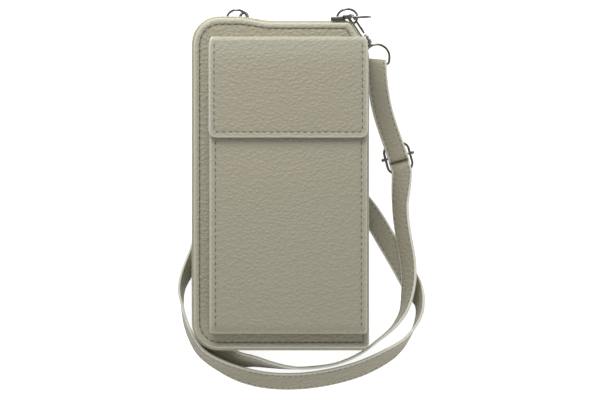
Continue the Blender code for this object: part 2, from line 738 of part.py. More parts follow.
def make_swivel(side, frame, heading, parent):
    """The strap's ring, with a straight bar for the strap and a post in the barrel."""
    centre = at(frame, 0.0, -SWIVEL_CENTRE, 0.0)
    down = Vector((*heading, 0.0)).normalized()
    across = Vector((-down.y, down.x, 0.0))
    corners = [
        (SWIVEL_R, 0.0, 0.0),
        (SWIVEL_R, -SWIVEL_DROP, SWIVEL_CORNER_R),
        (-SWIVEL_R, -SWIVEL_DROP, SWIVEL_CORNER_R),
        (-SWIVEL_R, 0.0, 0.0),
    ]
    outline = rounded(corners, closed=False)
    turns = [pi * (1 - i / SWIVEL_STEPS) for i in range(1, SWIVEL_STEPS)]
    arc = [(SWIVEL_R * cos(turn), SWIVEL_R * sin(turn)) for turn in turns]
    points = [centre + across * x - down * y for x, y in outline + arc]
    ring = wire(points, RING_WIRE_R, closed=True)
    post_end = at(frame, 0.0, -SWIVEL_CENTRE + SWIVEL_R - RING_WIRE_R / 2, 0.0)
    post = rod(post_end, at(frame, 0.0, -POST_TOP, 0.0), POST_R, 12)
    piece(side + "_swivel_ring", joined("swivel", ring, [post]), "steel", parent)


def swivel_bar(frame, heading):
    down = Vector((*heading, 0.0)).normalized()
    centre = at(frame, 0.0, -SWIVEL_CENTRE, 0.0) + down * SWIVEL_DROP
    return Vector((centre.x, centre.y, BAR_Z)), down


# Buckle.
def buckle_bar():
    x, y = from_picture(BUCKLE_BAR_X, BUCKLE_BAR_Y)
    return Vector((x, y, BAR_Z)), Vector((*BUCKLE_HEADING, 0.0)).normalized()


def make_buckle(parent):
    """An oval slide buckle with a bar across it."""
    bar, down = buckle_bar()
    across = Vector((-down.y, down.x, 0.0))
    half = BUCKLE_W / 2
    corners = [
        (half, -BUCKLE_DOWN, BUCKLE_CORNER_R),
        (half, BUCKLE_UP, BUCKLE_CORNER_R),
        (-half, BUCKLE_UP, BUCKLE_CORNER_R),
        (-half, -BUCKLE_DOWN, BUCKLE_CORNER_R),
    ]
    points = [bar + across * x - down * y for x, y in rounded(corners)]
    frame = wire(points, RING_WIRE_R, closed=True)
    reach = half + BAR_OVERHANG
    cross = rod(bar - across * reach, bar + across * reach, RING_WIRE_R * BAR_SHARE, 12)
    balls = []
    for side in (-1, 1):
        shape = bmesh.new()
        bmesh.ops.create_uvsphere(shape, u_segments=12, v_segments=8, radius=BAR_BALL_R)
        mesh = bpy.data.meshes.new("ball")
        shape.to_mesh(mesh)
        shape.free()
        mesh.transform(Matrix.Translation(bar + across * reach * side))
        balls.append(mesh)
    piece("strap_buckle", joined("buckle", frame, [cross] + balls), "steel", parent)


# Strap. Places are pixels of the photograph, leans are degrees from flat and lifts are metres.
DOUBLED_ROUTE = [
    (393.0, 142.0), (385.5, 120.0), (380.5, 100.0), (378.0, 82.0),
]
LONG_ROUTE = [
    (401.2, 190, -22, CROSSING_LIFT / 2), (400.5, 205, -38, 0.0),
    (401.5, 220, -40, CROSSING_LIFT / 3), (404.5, 240, -40, CROSSING_LIFT), (408, 260, -40, CROSSING_LIFT),
    (409, 280, -46, CROSSING_LIFT), (407, 298, -58, CROSSING_LIFT / 3), (403.5, 312, -72, 0.0),
    (393, 328, -85, 0.0), (377, 341.5, -90, 0.0), (361, 353.5, -90, 0.0), (335, 364.5, -90, 0.0),
    (300, 368.5, -90, 0.0), (271, 365, -105, 0.0), (254, 361.5, -120, 0.0), (238, 359.5, -138, 0.0),
    (223, 353, -162, 0.0), (210, 342.5, -161, 0.0), (202.5, 329, -160, 0.0), (204, 316, -160, 0.0),
    (209, 299, -160, 0.0), (219, 275, -160, 0.0), (235, 240, -160, 0.0), (258, 205, -160, 0.0),
    (290, 180, -162, 0.0), (325, 178, -166, 0.0), (352, 193, -172, 0.0), (372, 216, -180, 0.0),
    (386, 239, -184, 0.0), (400, 263, -180, 0.0), (411, 283, -186, 0.0), (417, 294, -218, 0.0),
    (420, 304, -245, 0.0), (419.4, 315, -256, 0.0), (414.5, 327.5, -268, 0.0), (406, 340, -282, 0.0),
    (390, 354, -308, 0.0), (363, 368, -320, 0.0), (332, 377, -324, 0.0), (300, 381.5, -325, 0.0),
    (270, 381, -325, 0.0), (245, 376, -321, 0.0), (222, 366.5, -306, 0.0), (200, 351.5, -292, 0.0),
    (187, 327, -281, 0.0), (182, 305, -270, 0.0), (181, 291, -256, 0.0), (184, 279, -242, 0.0),
    (190, 266, -228, 0.0), (199, 249, -206, 0.0), (205, 232, -200, 0.0), (212, 200, -200, 0.0),
    (222, 152, -200, 0.0), (232, 112, -192, 0.0), (239, 88, -180, 0.0),
]


def from_picture(px, py):
    """A place in the photograph, in shares of the case's width and height."""
    return (px - PICTURE_X0) / PICTURE_CASE_W * BODY_W, (PICTURE_Y0 - py) / PICTURE_CASE_H * BODY_H


def smooth(points, step):
    """Points along a Catmull-Rom curve, about a step apart in their first two values."""
    ends = [[2 * a - b for a, b in zip(points[0], points[1])]]
    tails = [[2 * a - b for a, b in zip(points[-1], points[-2])]]
    held = ends + [list(p) for p in points] + tails
    read = []
    for i in range(1, len(held) - 2):
        p0, p1, p2, p3 = held[i - 1:i + 3]
        length = hypot(p2[0] - p1[0], p2[1] - p1[1])
        parts = max(1, round(length / step))
        for k in range(parts):
            t = k / parts
            read.append([
                HALF_SHARE * (2 * b + (c - a) * t + (2 * a - 5 * b + 4 * c - d) * t * t
                              + (3 * b - a - 3 * c + d) * t ** 3)
                for a, b, c, d in zip(p0, p1, p2, p3)
            ])
    read.append(list(points[-1]))
    return read


def leaning_stations(route):
    """Centres and width directions of the strap where it leans by the angles given."""
    read = smooth(route, STRAP_STEP)
    stations = []
    for i, (x, y, lean, lift) in enumerate(read):
        ax, ay = read[max(i - 1, 0)][:2]
        bx, by = read[min(i + 1, len(read) - 1)][:2]
        travel = Vector((bx - ax, by - ay, 0.0)).normalized()
        inner = Vector((travel.y, -travel.x, 0.0))
        angle = radians(lean)
        across = inner * cos(angle) + Vector((0.0, 0.0, sin(angle)))
        height = lift + STRAP_W / 2 * abs(sin(angle)) + STRAP_T / 2 * abs(cos(angle))
        stations.append((Vector((x, y, height)), across))
    return stations


def fold_stations(bar, outward, wrap):
    """The strap's turn round a bar. Angles run from the top over the outward side."""
    start, end = wrap
    radius = RING_WIRE_R + GAP + STRAP_T / 2
    across = outward.cross(Vector((0.0, 0.0, 1.0)))
    stations = []
    for i in range(FOLD_STEPS + 1):
        angle = radians(start + (end - start) * i / FOLD_STEPS)
        rise = Vector((0.0, 0.0, radius * cos(angle)))
        stations.append((bar + outward * (radius * sin(angle)) + rise, across))
    return stations


def strap_stations():
    right_bar, right_down = swivel_bar(RIGHT_FRAME, RIGHT_STRAP_HEADING)
    left_bar, left_down = swivel_bar(LEFT_FRAME, LEFT_STRAP_HEADING)
    bar, down = buckle_bar()
    doubled = [from_picture(*p) for p in DOUBLED_ROUTE]
    stations = fold_stations(bar, down, BUCKLE_WRAP)
    above = [(bar.x, bar.y, 0.0, FRONT_LAYER_LIFT)]
    above += [(x, y, 0.0, FRONT_LAYER_LIFT) for x, y in doubled]
    above += [(right_bar.x, right_bar.y, 0.0, FRONT_LAYER_LIFT)]
    stations += leaning_stations(above)
    stations += fold_stations(right_bar, -right_down, BAR_WRAP)
    lower = [(right_bar.x, right_bar.y, 0.0, 0.0)]
    lower += [(x, y, 0.0, 0.0) for x, y in doubled[::-1]]
    lower += [(bar.x, bar.y, 0.0, 0.0)]
    route = [(*from_picture(px, py), lean, lift) for px, py, lean, lift in LONG_ROUTE]
    approach = left_bar + left_down * STRAP_W
    route += [(approach.x, approach.y, -180.0, 0.0), (left_bar.x, left_bar.y, -180.0, 0.0)]
    stations += leaning_stations(lower)
    across = down.cross(Vector((0.0, 0.0, 1.0)))
    for along, rise in RISE_SHARES:
        place = bar + down * (BUCKLE_DOWN * along)
        stations.append((Vector((place.x, place.y, STRAP_T / 2 + HUMP_LIFT * rise)), across))
    hump = bar + down * BUCKLE_DOWN
    stations += leaning_stations([(hump.x, hump.y, 0.0, HUMP_LIFT)] + route)
    stations += fold_stations(left_bar, -left_down, BAR_WRAP[::-1])
    tail = [(left_bar.x, left_bar.y, 0.0, FRONT_LAYER_LIFT)]
    for share in TAIL_SHARES:
        place = left_bar + left_down * (LEFT_END_L * share)
        tail.append((place.x, place.y, 0.0, FRONT_LAYER_LIFT))
    return stations + leaning_stations(tail)


def strap_sections(stations):
    """Frames along the strap: centre, width direction and thickness direction."""
    frames = []
    for i, (centre, across) in enumerate(stations):
        before = stations[max(i - 1, 0)][0]
        after = stations[min(i + 1, len(stations) - 1)][0]
        travel = (after - before).normalized()
        across = (across - travel * across.dot(travel)).normalized()
        if frames and across.dot(frames[-1][1]) < 0:
            across = -across
        frames.append((centre, across, travel.cross(across)))
    return frames


def make_strap(parent):
    """The strap in one length, lofted because it turns over as it lies."""
    frames = strap_sections(strap_stations())
    half_w, half_t = STRAP_W / 2, STRAP_T / 2
    cut = STRAP_CHAMFER
    section = [
        (half_w, half_t - cut), (half_w - cut, half_t), (cut - half_w, half_t), (-half_w, half_t - cut),
        (-half_w, cut - half_t), (cut - half_w, -half_t), (half_w - cut, -half_t), (half_w, cut - half_t),
    ]
    shape = bmesh.new()
    rings = []
    for centre, across, normal in frames:
        rings.append([shape.verts.new(centre + across * a + normal * b) for a, b in section])
    count = len(section)
    for near, far in zip(rings, rings[1:]):
        for i in range(count):
            j = (i + 1) % count
            shape.faces.new((near[i], near[j], far[j], far[i]))
    shape.faces.new(rings[0][::-1])
    shape.faces.new(rings[-1])
    bmesh.ops.recalc_face_normals(shape, faces=shape.faces)
    bmesh.ops.triangulate(shape, faces=shape.faces)
    mesh = bpy.data.meshes.new("shoulder_strap")
    shape.to_mesh(mesh)
    shape.free()
    piece("shoulder_strap", mesh, "leather", parent)


LEFT_FRAME = hook_frame(LEFT_HOOK_NOSE, LEFT_HOOK_HEADING, LEFT_HOOK_PITCH, LEFT_HOOK_ROLL)
RIGHT_FRAME = hook_frame(RIGHT_HOOK_NOSE, RIGHT_HOOK_HEADING, RIGHT_HOOK_PITCH, RIGHT_HOOK_ROLL)


def centre_on_floor(root):
    """Move the whole so that the middle of its box's bottom is the origin."""
    bpy.context.view_layer.update()
    places = []
    for item in PARTS.objects:
        if item.type == "MESH":
            places += [item.matrix_world @ vert.co for vert in item.data.vertices]
    low = Vector(min(place[i] for place in places) for i in range(3))
    high = Vector(max(place[i] for place in places) for i in range(3))
    middle = (low + high) / 2
    root.location = (-middle.x, -middle.y, -low.z)
    bpy.context.view_layer.update()


def build():
    origin = (0.0, 0.0, 0.0)
    root = pivot("wallet_root", origin)
    back = pivot("back_half", origin, root)
    cover = pivot("cover_hinge", (HINGE_X, 0.0, HINGE_Z), root)
    root_hinge = pivot("flap_root_hinge", (0.0, FLAP_AXIS_Y, FLAP_ROOT_AXIS_Z), cover)
    flap = pivot("flap_hinge", (0.0, FLAP_AXIS_Y, FLAP_AXIS_Z), root_hinge)
    slider = pivot("zip_slide", (SLIDER_X, BODY_H / 2, MIDDLE_Z), root)
    pull = pivot("pull_swing", (*pull_axis(), MIDDLE_Z), slider)
    make_case(back, cover)
    make_zip(back, cover)
    make_slider(slider)
    make_pull(pull)
    make_cards(back)
    make_pocket(cover)
    make_flap(root_hinge, flap)
    rings = (
        ("left", LEFT_RING_EYE, LEFT_RING_TILT, LEFT_RING_ROLL, LEFT_FRAME, LEFT_STRAP_HEADING),
        ("right", RIGHT_RING_EYE, RIGHT_RING_TILT, RIGHT_RING_ROLL, RIGHT_FRAME, RIGHT_STRAP_HEADING),
    )
    for side, eye, tilt, roll, frame, heading in rings:
        make_tab(side + "_tab", eye, back)
        make_ring(side + "_ring", eye, tilt, roll, pivot(side + "_ring_swing", eye, root))
        hook = pivot(side + "_hook_swivel", at(frame, 0.0, -BARREL_TOP, 0.0), root)
        gate = pivot(side + "_gate_hinge", at(frame, GATE_SIDE * LOOP_HALF_W, -GATE_HINGE, 0.0), hook)
        make_hook(side, frame, hook, gate)
        make_swivel(side, frame, heading, back)
    bar, _ = buckle_bar()
    make_buckle(pivot("buckle_slide", bar, root))
    make_strap(back)
    for item in PARTS.objects:
        if item.type == "MESH":
            item.data.shade_smooth()
            item.data.set_sharp_from_angle(angle=radians(SHARP_ANGLE))
    centre_on_floor(root)


clear_scene()
PARTS = collection("phone_wallet")
CUTTERS = collection("cutters")
build()
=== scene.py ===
"""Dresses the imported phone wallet: grained leather, stitches, zip teeth, hooks and strap."""

from functools import cached_property
from math import acos, atan2, ceil, cos, hypot, pi, radians, sin, tan

import bmesh
import bpy
import numpy as np
from bpy.props import FloatProperty, FloatVectorProperty, PointerProperty
from mathutils import Matrix, Vector


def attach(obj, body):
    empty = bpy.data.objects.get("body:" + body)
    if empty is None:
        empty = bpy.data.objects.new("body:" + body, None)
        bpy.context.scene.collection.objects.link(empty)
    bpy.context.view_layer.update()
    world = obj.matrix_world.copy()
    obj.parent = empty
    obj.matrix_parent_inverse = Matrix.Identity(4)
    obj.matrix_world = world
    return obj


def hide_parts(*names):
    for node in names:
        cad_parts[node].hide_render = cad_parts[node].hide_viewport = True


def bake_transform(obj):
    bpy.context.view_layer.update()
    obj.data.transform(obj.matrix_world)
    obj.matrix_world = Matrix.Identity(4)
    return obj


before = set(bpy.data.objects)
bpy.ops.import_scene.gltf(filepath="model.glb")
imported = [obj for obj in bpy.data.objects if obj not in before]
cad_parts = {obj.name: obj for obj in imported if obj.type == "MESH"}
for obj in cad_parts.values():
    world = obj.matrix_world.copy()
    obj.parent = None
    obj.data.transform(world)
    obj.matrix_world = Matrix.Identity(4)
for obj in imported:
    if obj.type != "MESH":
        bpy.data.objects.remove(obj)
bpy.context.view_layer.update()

bl_info = {
    "name": "Phone wallet",
    "version": (1, 0, 0),
    "blender": (4, 5, 0),
    "location": "3D View > Sidebar > Wallet",
    "description": "Builds the leather, stitching, zip and metal of a zip-around phone wallet",
    "category": "Object",
}

# Where the case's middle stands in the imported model. All sizes are in metres.
SHIFT = Vector((-0.011851, 0.008206, 0.0))
UP = (0.0, 0.0, 1.0)
# What a face keeps from the piece that it lies on.
GAP = 0.00002

# Sizes repeated from the solids. A name with Z or X gives a low and a high place.
HALF_W = 0.0525
HALF_H = 0.0975
CORNER_R = 0.015
CHAMFER = (0.012, 0.018)
TOP_RISE = 0.0027
BACK_Z = (0.0074, 0.0090)
INNER_Z = (0.0093, 0.0215)
COVER_Z = (0.0218, 0.0234)
POCKET_Z = (0.0237, 0.0333)
FLAP_Z = (0.0351, 0.0363)
FLAP_LINING_Z = (0.03432, 0.03478)
BACK_TAPE_Z = (INNER_Z[0] + GAP, 0.01405)
FRONT_TAPE_Z = (0.01675, 0.02148)
MIDDLE_Z = 0.0154
# Left, right, low and high sides of the pocket and of the flap.
POCKET = (-0.0430, 0.0514, -0.0888, 0.0873)
FLAP = (-0.0435, 0.0518, 0.0286, 0.0891)
FLAP_ROLL_R = 0.0030
FLAP_FOOT_Z = 0.0240
CARD_X = (-0.0465, 0.0465)
CARD_LOW = -0.0855
CARD_STEP = 0.050
CARD_H = 0.044
SNAP_AT = (0.0035, 0.0406)
SNAP_SEAT_R = 0.0063
LEFT_EYE = (-0.0267, 0.0950, 0.0029)
RIGHT_EYE = (0.0395, 0.0962, 0.0038)
RING_R = 0.0061
WIRE_R = 0.00075
HOOK_ARM = 0.0029
BAR_Z = 0.00285
SWIVEL_R = 0.0075
SWIVEL_CENTRE = 0.0298
SWIVEL_DROP = 0.004
SLIDER_X = (0.0295, 0.0385)
SLIDER_PIN = (0.0406, 0.1011)
STRAP_W = 0.0123
STRAP_T = 0.0018

# How far in from an edge each seam runs.
BORDER_SEAM = 0.0035
POCKET_SEAM = 0.0036
FLAP_SEAM = 0.0033
CARD_SEAM = 0.0018
STRAP_SEAM = 0.0017


def length_setting(name, description, default, low, high):
    return FloatProperty(name=name, description=description, default=default, min=low, max=high, unit="LENGTH")


def colour_setting(name, description, default):
    return FloatVectorProperty(
        name=name, description=description, default=default, min=0.0, max=1.0, size=3, subtype="COLOR")


# Settings that a user would change.
class WalletSizes(bpy.types.PropertyGroup):
    stitch_pitch: length_setting("Stitch pitch", "Distance from one stitch to the next", 0.0040, 0.002, 0.008)
    stitch_length: length_setting("Stitch length", "Length of the thread that shows", 0.0025, 0.001, 0.006)
    thread_width: length_setting("Thread width", "Width of the sewing thread", 0.00055, 0.0002, 0.0015)
    tooth_pitch: length_setting("Tooth pitch", "Distance from one zip tooth to the next", 0.0015, 0.0008, 0.004)
    pocket_crown: length_setting("Pocket crown", "How far the pocket's front swells", 0.0008, 0.0, 0.003)
    grain_size: length_setting("Grain size", "Width of one pebble of the leather", 0.0021, 0.0004, 0.004)


class WalletColours(bpy.types.PropertyGroup):
    leather: colour_setting("Leather", "Colour of the grained leather", (0.390, 0.362, 0.272))
    edge: colour_setting("Edge paint", "Colour of the painted edges", (0.78, 0.78, 0.68))
    thread: colour_setting("Thread", "Colour of the stitches", (0.130, 0.114, 0.080))
    lining: colour_setting("Lining", "Colour of the woven lining", (0.26, 0.225, 0.17))
    tape: colour_setting("Zip tape", "Colour of the zip's tape", (0.47, 0.44, 0.335))
    teeth: colour_setting("Zip teeth", "Colour of the coil teeth", (0.66, 0.64, 0.49))
    metal: colour_setting("Metal", "Colour of the nickel plate", (0.220, 0.214, 0.196))


def sizes():
    return bpy.context.scene.wallet_sizes


def colours():
    return bpy.context.scene.wallet_colours


# Materials.
class Nodes:
    """The nodes of one tree. Most methods add a node and give its output."""

    def __init__(self, tree):
        self.tree = tree

    @cached_property
    def place(self):
        return self.add("TexCoord", "Object")

    def feed(self, socket, value):
        if isinstance(value, bpy.types.NodeSocket):
            self.tree.links.new(value, socket)
        else:
            socket.default_value = value

    def fill(self, made, settings):
        """Sets inputs by their names in lower case, and other settings as properties."""
        for key, value in settings.items():
            label = key.replace("_", " ").title().replace("Ior", "IOR")
            if label in made.inputs:
                self.feed(made.inputs[label], value)
            else:
                setattr(made, key, value)

    def coat(self, **settings):
        """Fills the inputs of the surface shader."""
        self.fill(self.tree.nodes["Principled BSDF"], settings)

    def add(self, kind, output=0, **settings):
        made = self.tree.nodes.new(kind if "Node" in kind else "ShaderNode" + kind)
        self.fill(made, settings)
        return made.outputs[output]

    def maths(self, operation, *values, kind="Math"):
        made = self.tree.nodes.new("ShaderNode" + kind)
        made.operation = operation
        for socket, value in zip(made.inputs, values):
            self.feed(socket, value)
        return made.outputs[0]

    def mix(self, factor, low, high):
        """A colour between two, by a factor."""
        made = self.tree.nodes.new("ShaderNodeMix")
        made.data_type = "RGBA"
        for slot, value in ((0, factor), (6, low), (7, high)):
            self.feed(made.inputs[slot], value if isinstance(value, bpy.types.NodeSocket) else (*value, 1.0))
        return made.outputs[2]

    def ramp(self, value, low, high, curve="LINEAR"):
        """0 to 1, as a value goes from low to high."""
        return self.add("MapRange", value=value, interpolation_type=curve, from_min=low, from_max=high)

    def between(self, value, low, high):
        """Low to high, as a value goes from 0 to 1."""
        return self.add("MapRange", value=value, to_min=low, to_max=high)

    def noise(self, scale, detail, place=None, output="Fac", **settings):
        place = self.place if place is None else place
        return self.add("TexNoise", output, vector=place, scale=scale, detail=detail, **settings)

    def cells(self, place, scale, low, high, **settings):
        found = self.add("TexVoronoi", "Distance", vector=place, scale=scale, **settings)
        return self.ramp(found, low, high, "SMOOTHSTEP")

    def painted(self, label):
        """A number that the mesh holds for each point."""
        return self.add("Attribute", "Fac", attribute_name=label)

    def bump(self, height, strength, distance, **below):
        return self.add("Bump", height=height, strength=strength, distance=distance, **below)


def finish(fill):
    """Turns a function that fills a material's nodes into one that gives the material, made once for each name."""
    def get(name=fill.__name__, *values):
        found = bpy.data.materials.get(name)
        if not found:
            found = bpy.data.materials.new(name)
            found.use_nodes = True
            fill(Nodes(found.node_tree), *values)
        return found
    return get


def scaled(colour, share):
    return tuple(min(1.0, part * share) for part in colour)


@finish
def grained_leather(nodes):
    """Pebbled leather with fine creases, smooth and pale along painted edges, with painted shade in its seams."""
    grain = 1.0 / sizes().grain_size
    sway = nodes.noise(260.0, 2.0, output="Color")
    pushed = nodes.maths("MULTIPLY_ADD", sway, (0.0016, 0.0011, 0.0011), nodes.place, kind="VectorMath")
    skin = nodes.add("Mapping", vector=pushed, scale=(0.80, 1.15, 1.0))
    domes = nodes.cells(skin, grain, 0.72, 0.02, feature="SMOOTH_F1", smoothness=0.35)
    pebbles = nodes.cells(skin, grain, 0.0, 0.20, feature="DISTANCE_TO_EDGE")
    cracks = nodes.cells(skin, grain * 2.3, 0.8, 0.0, feature="SMOOTH_F1", smoothness=0.4)
    creases = nodes.noise(grain * 0.75, 2.0, skin, roughness=0.5)
    pores = nodes.noise(grain * 4.0, 2.0)
    worn = nodes.maths("MULTIPLY", nodes.ramp(nodes.noise(22.0, 3.0), 0.3, 0.7), 0.45)
    # The rim attribute holds pale edge paint, and on the flap also a painted highlight toward its fold.
    rim = nodes.painted("rim")
    base = colours().leather
    tone = nodes.mix(pebbles, scaled(base, 0.93), base)
    tone = nodes.mix(worn, tone, scaled(base, 0.93))
    # The seam attribute darkens the colour: painted shade in the stitch grooves.
    tone = nodes.mix(nodes.painted("seam"), tone, scaled(base, 0.42))
    grained = nodes.maths("SUBTRACT", 1.0, rim)
    below = {}
    for height, strength, distance in (
        (domes, 0.62, 0.00042), (pebbles, 0.25, 0.00009), (cracks, 0.22, 0.00014), (creases, 0.28, 0.00045),
        (pores, 0.10, 0.00006),
    ):
        below = {"normal": nodes.bump(height, nodes.maths("MULTIPLY", grained, strength), distance, **below)}
    nodes.coat(
        base_color=nodes.mix(rim, tone, colours().edge), roughness=nodes.between(creases, 0.42, 0.62),
        specular_ior_level=0.35, sheen_weight=0.08, sheen_roughness=0.5, **below)


@finish
def smooth_leather(nodes):
    """The thin skived leather of the tabs: finer grain, a little paler."""
    fine = nodes.noise(900.0, 4.0, roughness=0.6)
    base = colours().leather
    tone = nodes.mix(nodes.ramp(nodes.noise(60.0, 3.0), 0.3, 0.7), scaled(base, 1.02), scaled(base, 1.14))
    nodes.coat(
        base_color=nodes.mix(nodes.painted("rim"), tone, colours().edge), roughness=nodes.between(fine, 0.38, 0.58),
        normal=nodes.bump(fine, 0.28, 0.0003), specular_ior_level=0.4)


@finish
def woven(nodes, colour, threads, depth):
    """Plain weave from crossed waves, with some fuzz."""
    x, y, z = (
        nodes.add(
            "TexWave", "Fac", vector=nodes.place, wave_type="BANDS", bands_direction=way, scale=threads,
            distortion=0.6, detail=1.0, detail_scale=2.0)
        for way in "XYZ")
    weave = nodes.maths("MAXIMUM", nodes.maths("MULTIPLY", x, y), z)
    fuzz = nodes.noise(threads * 3.0, 3.0)
    tone = nodes.mix(weave, scaled(colour, 0.78), scaled(colour, 1.10))
    nodes.coat(
        base_color=nodes.mix(nodes.ramp(fuzz, 0.35, 0.75), tone, colour),
        roughness=nodes.between(fuzz, 0.75, 0.95), normal=nodes.bump(weave, 0.5, depth), sheen_weight=0.25)


@finish
def waxed_thread(nodes):
    """Sewing thread with its twist."""
    turned = nodes.add("Mapping", vector=nodes.place, rotation=(0.0, 0.0, 0.7))
    twist = nodes.add("TexWave", "Fac", vector=turned, scale=900.0, distortion=1.0)
    base = colours().thread
    nodes.coat(
        base_color=nodes.mix(twist, scaled(base, 0.7), scaled(base, 1.25)), roughness=0.6,
        normal=nodes.bump(twist, 0.5, 0.0001))


@finish
def plated(nodes, colour, roughness, wear):
    """Plate with fine scratches and slightly dull patches."""
    patches = nodes.noise(420.0, 3.0)
    drawn = nodes.add("Mapping", vector=nodes.place, scale=(1.0, 9.0, 1.0))
    nodes.coat(
        base_color=nodes.mix(nodes.ramp(patches, 0.3, 0.75), scaled(colour, 0.82), scaled(colour, 1.1)),
        metallic=1.0, roughness=nodes.between(patches, roughness, roughness + wear),
        normal=nodes.bump(nodes.noise(1800.0, 1.0, drawn), 0.08, 0.00005))


@finish
def coil_plastic(nodes):
    """Moulded coil, a little speckled."""
    speck = nodes.noise(700.0, 2.0)
    base = colours().teeth
    nodes.coat(
        base_color=nodes.mix(speck, scaled(base, 0.85), scaled(base, 1.12)), roughness=nodes.between(speck, 0.3, 0.5))


@finish
def white_paper(nodes):
    """Paper that shines where the camera sees it, so that it comes out white."""
    rays = nodes.tree.nodes.new("ShaderNodeLightPath").outputs
    seen = nodes.maths("MAXIMUM", rays["Is Camera Ray"], rays["Is Glossy Ray"])
    seen = nodes.maths("MAXIMUM", seen, rays["Is Transmission Ray"])
    nodes.coat(
        base_color=(0.9, 0.9, 0.9, 1.0), roughness=0.9, specular_ior_level=0.0, emission_color=(1.0, 1.0, 1.0, 1.0),
        emission_strength=nodes.maths("MULTIPLY", seen, 0.85))


def lining_cloth():
    return woven("lining_cloth", tuple(colours().lining), 900.0, 0.0002)


# Shapes in numbers.
def smooth_step(t):
    t = np.clip(t, 0.0, 1.0)
    return t * t * (3.0 - 2.0 * t)


def bell(t, width):
    """1 at nought, fading on both sides."""
    return np.exp(-(t / width) ** 2)


def rolled(d, radius):
    """How far a rounded rim falls: 1 at the rim, 0 from a radius in."""
    return 1.0 - np.sqrt(np.clip(1.0 - (1.0 - np.clip(d / radius, 0.0, 1.0)) ** 2, 0.0, 1.0))


def circle(sides):
    return [(cos(2 * pi * k / sides), sin(2 * pi * k / sides)) for k in range(sides)]


def travel_at(points, i):
    """The way of a line at one of its points."""
    before, after = points[max(i - 1, 0)], points[min(i + 1, len(points) - 1)]
    return Vector([b - a for a, b in zip(before, after)]).normalized()


def straight(start, end, parts):
    return [tuple(a + (b - a) * k / parts for a, b in zip(start, end)) for k in range(parts + 1)]


def dense(path, step=0.0015):
    """The same line with a point every step."""
    points = []
    for start, end in zip(path, path[1:]):
        points += straight(start, end, max(1, ceil(hypot(end[0] - start[0], end[1] - start[1]) / step)))[:-1]
    return points + [path[-1]]


def smooth_line(points, parts=None, step=None):
    """Catmull-Rom through points, in so many parts between two of them or by a step."""
    def beyond(end, inner):
        return [2 * a - b for a, b in zip(end, inner)]
    points = [list(point) for point in points]
    held = [beyond(points[0], points[1])] + points + [beyond(points[-1], points[-2])]
    found = []
    for p0, p1, p2, p3 in zip(held, held[1:], held[2:], held[3:]):
        count = parts or max(1, round(hypot(p2[0] - p1[0], p2[1] - p1[1]) / step))
        for t in (k / count for k in range(count)):
            found.append([
                0.5 * (2 * b + (c - a) * t + (2 * a - 5 * b + 4 * c - d) * t * t + (3 * b - a - 3 * c + d) * t ** 3)
                for a, b, c, d in zip(p0, p1, p2, p3)])
    return found + [points[-1]]


def rounded(corners, closed=True, step=9.0):
    """Points of an outline whose corners, each a place and a radius, are arcs."""
    last = len(corners) - 1
    points = []
    for i, (x, y, radius) in enumerate(corners):
        if radius <= 0 or (not closed and i in (0, last)):
            points.append((x, y))
            continue
        px, py, _ = corners[i - 1]
        qx, qy, _ = corners[(i + 1) % len(corners)]
        here, before, after = Vector((x, y)), Vector((px - x, py - y)), Vector((qx - x, qy - y))
        room = min(before.length, after.length)
        before.normalize()
        after.normalize()
        opening = acos(max(-1.0, min(1.0, before.dot(after))))
        reach = min(radius / tan(opening / 2), room * 0.98)
        radius = reach * tan(opening / 2)
        centre = here + (before + after).normalized() * (radius / sin(opening / 2))
        start, end = here + before * reach - centre, here + after * reach - centre
        sweep = atan2(start.x * end.y - start.y * end.x, start.dot(end))
        parts = max(2, ceil(abs(sweep) / radians(step)))
        for angle in (sweep * k / parts for k in range(parts + 1)):
            points.append((
                centre.x + start.x * cos(angle) - start.y * sin(angle),
                centre.y + start.x * sin(angle) + start.y * cos(angle)))
    return points


def panel(left, right, low, high, low_radius, high_radius=None):
    """The outline of an upright panel with rounded corners."""
    if high_radius is None:
        high_radius = low_radius
    return rounded([
        (right, low, low_radius), (right, high, high_radius), (left, high, high_radius), (left, low, low_radius)])


def offset(corners, inset, closed=True):
    """Corners moved to the left of the way round, with their radii to match."""
    count = len(corners)
    sides = []
    for i in range(count if closed else count - 1):
        (x0, y0, _), (x1, y1, _) = corners[i], corners[(i + 1) % count]
        run = hypot(x1 - x0, y1 - y0)
        dx, dy = (x1 - x0) / run, (y1 - y0) / run
        sides.append((x0 - dy * inset, y0 + dx * inset, dx, dy, run))
    moved = []
    for i in range(count):
        ax, ay, adx, ady, run = sides[i - 1]
        bx, by, bdx, bdy, _ = sides[i % len(sides)]
        if closed or 0 < i < count - 1:
            turn = adx * bdy - ady * bdx
            along = ((bx - ax) * bdy - (by - ay) * bdx) / turn
            radius = corners[i][2] - inset if turn > 0 else corners[i][2] + inset
            moved.append((ax + adx * along, ay + ady * along, max(radius, 0.0)))
        elif i:
            moved.append((ax + adx * run, ay + ady * run, 0.0))
        else:
            moved.append((bx, by, 0.0))
    return moved


def rim_distance(loop, x, y):
    """How far each place lies from the outline."""
    best = np.full(x.shape, 1.0)
    for (ax, ay), (bx, by) in zip(loop, loop[1:] + loop[:1]):
        dx, dy = bx - ax, by - ay
        square = dx * dx + dy * dy
        if square > 1e-14:
            t = np.clip(((x - ax) * dx + (y - ay) * dy) / square, 0.0, 1.0)
            best = np.minimum(best, np.hypot(x - ax - t * dx, y - ay - t * dy))
    return best


def spread(low, high, insets, pitch):
    """Places from low to high, close together by the insets near both ends."""
    near = [low + inset for inset in insets if low + inset < (low + high) / 2]
    far = [high - inset for inset in insets if high - inset > (low + high) / 2]
    start, end = near[-1], far[-1]
    count = max(1, round((end - start) / pitch))
    return near + [start + (end - start) * i / count for i in range(1, count)] + far[::-1]


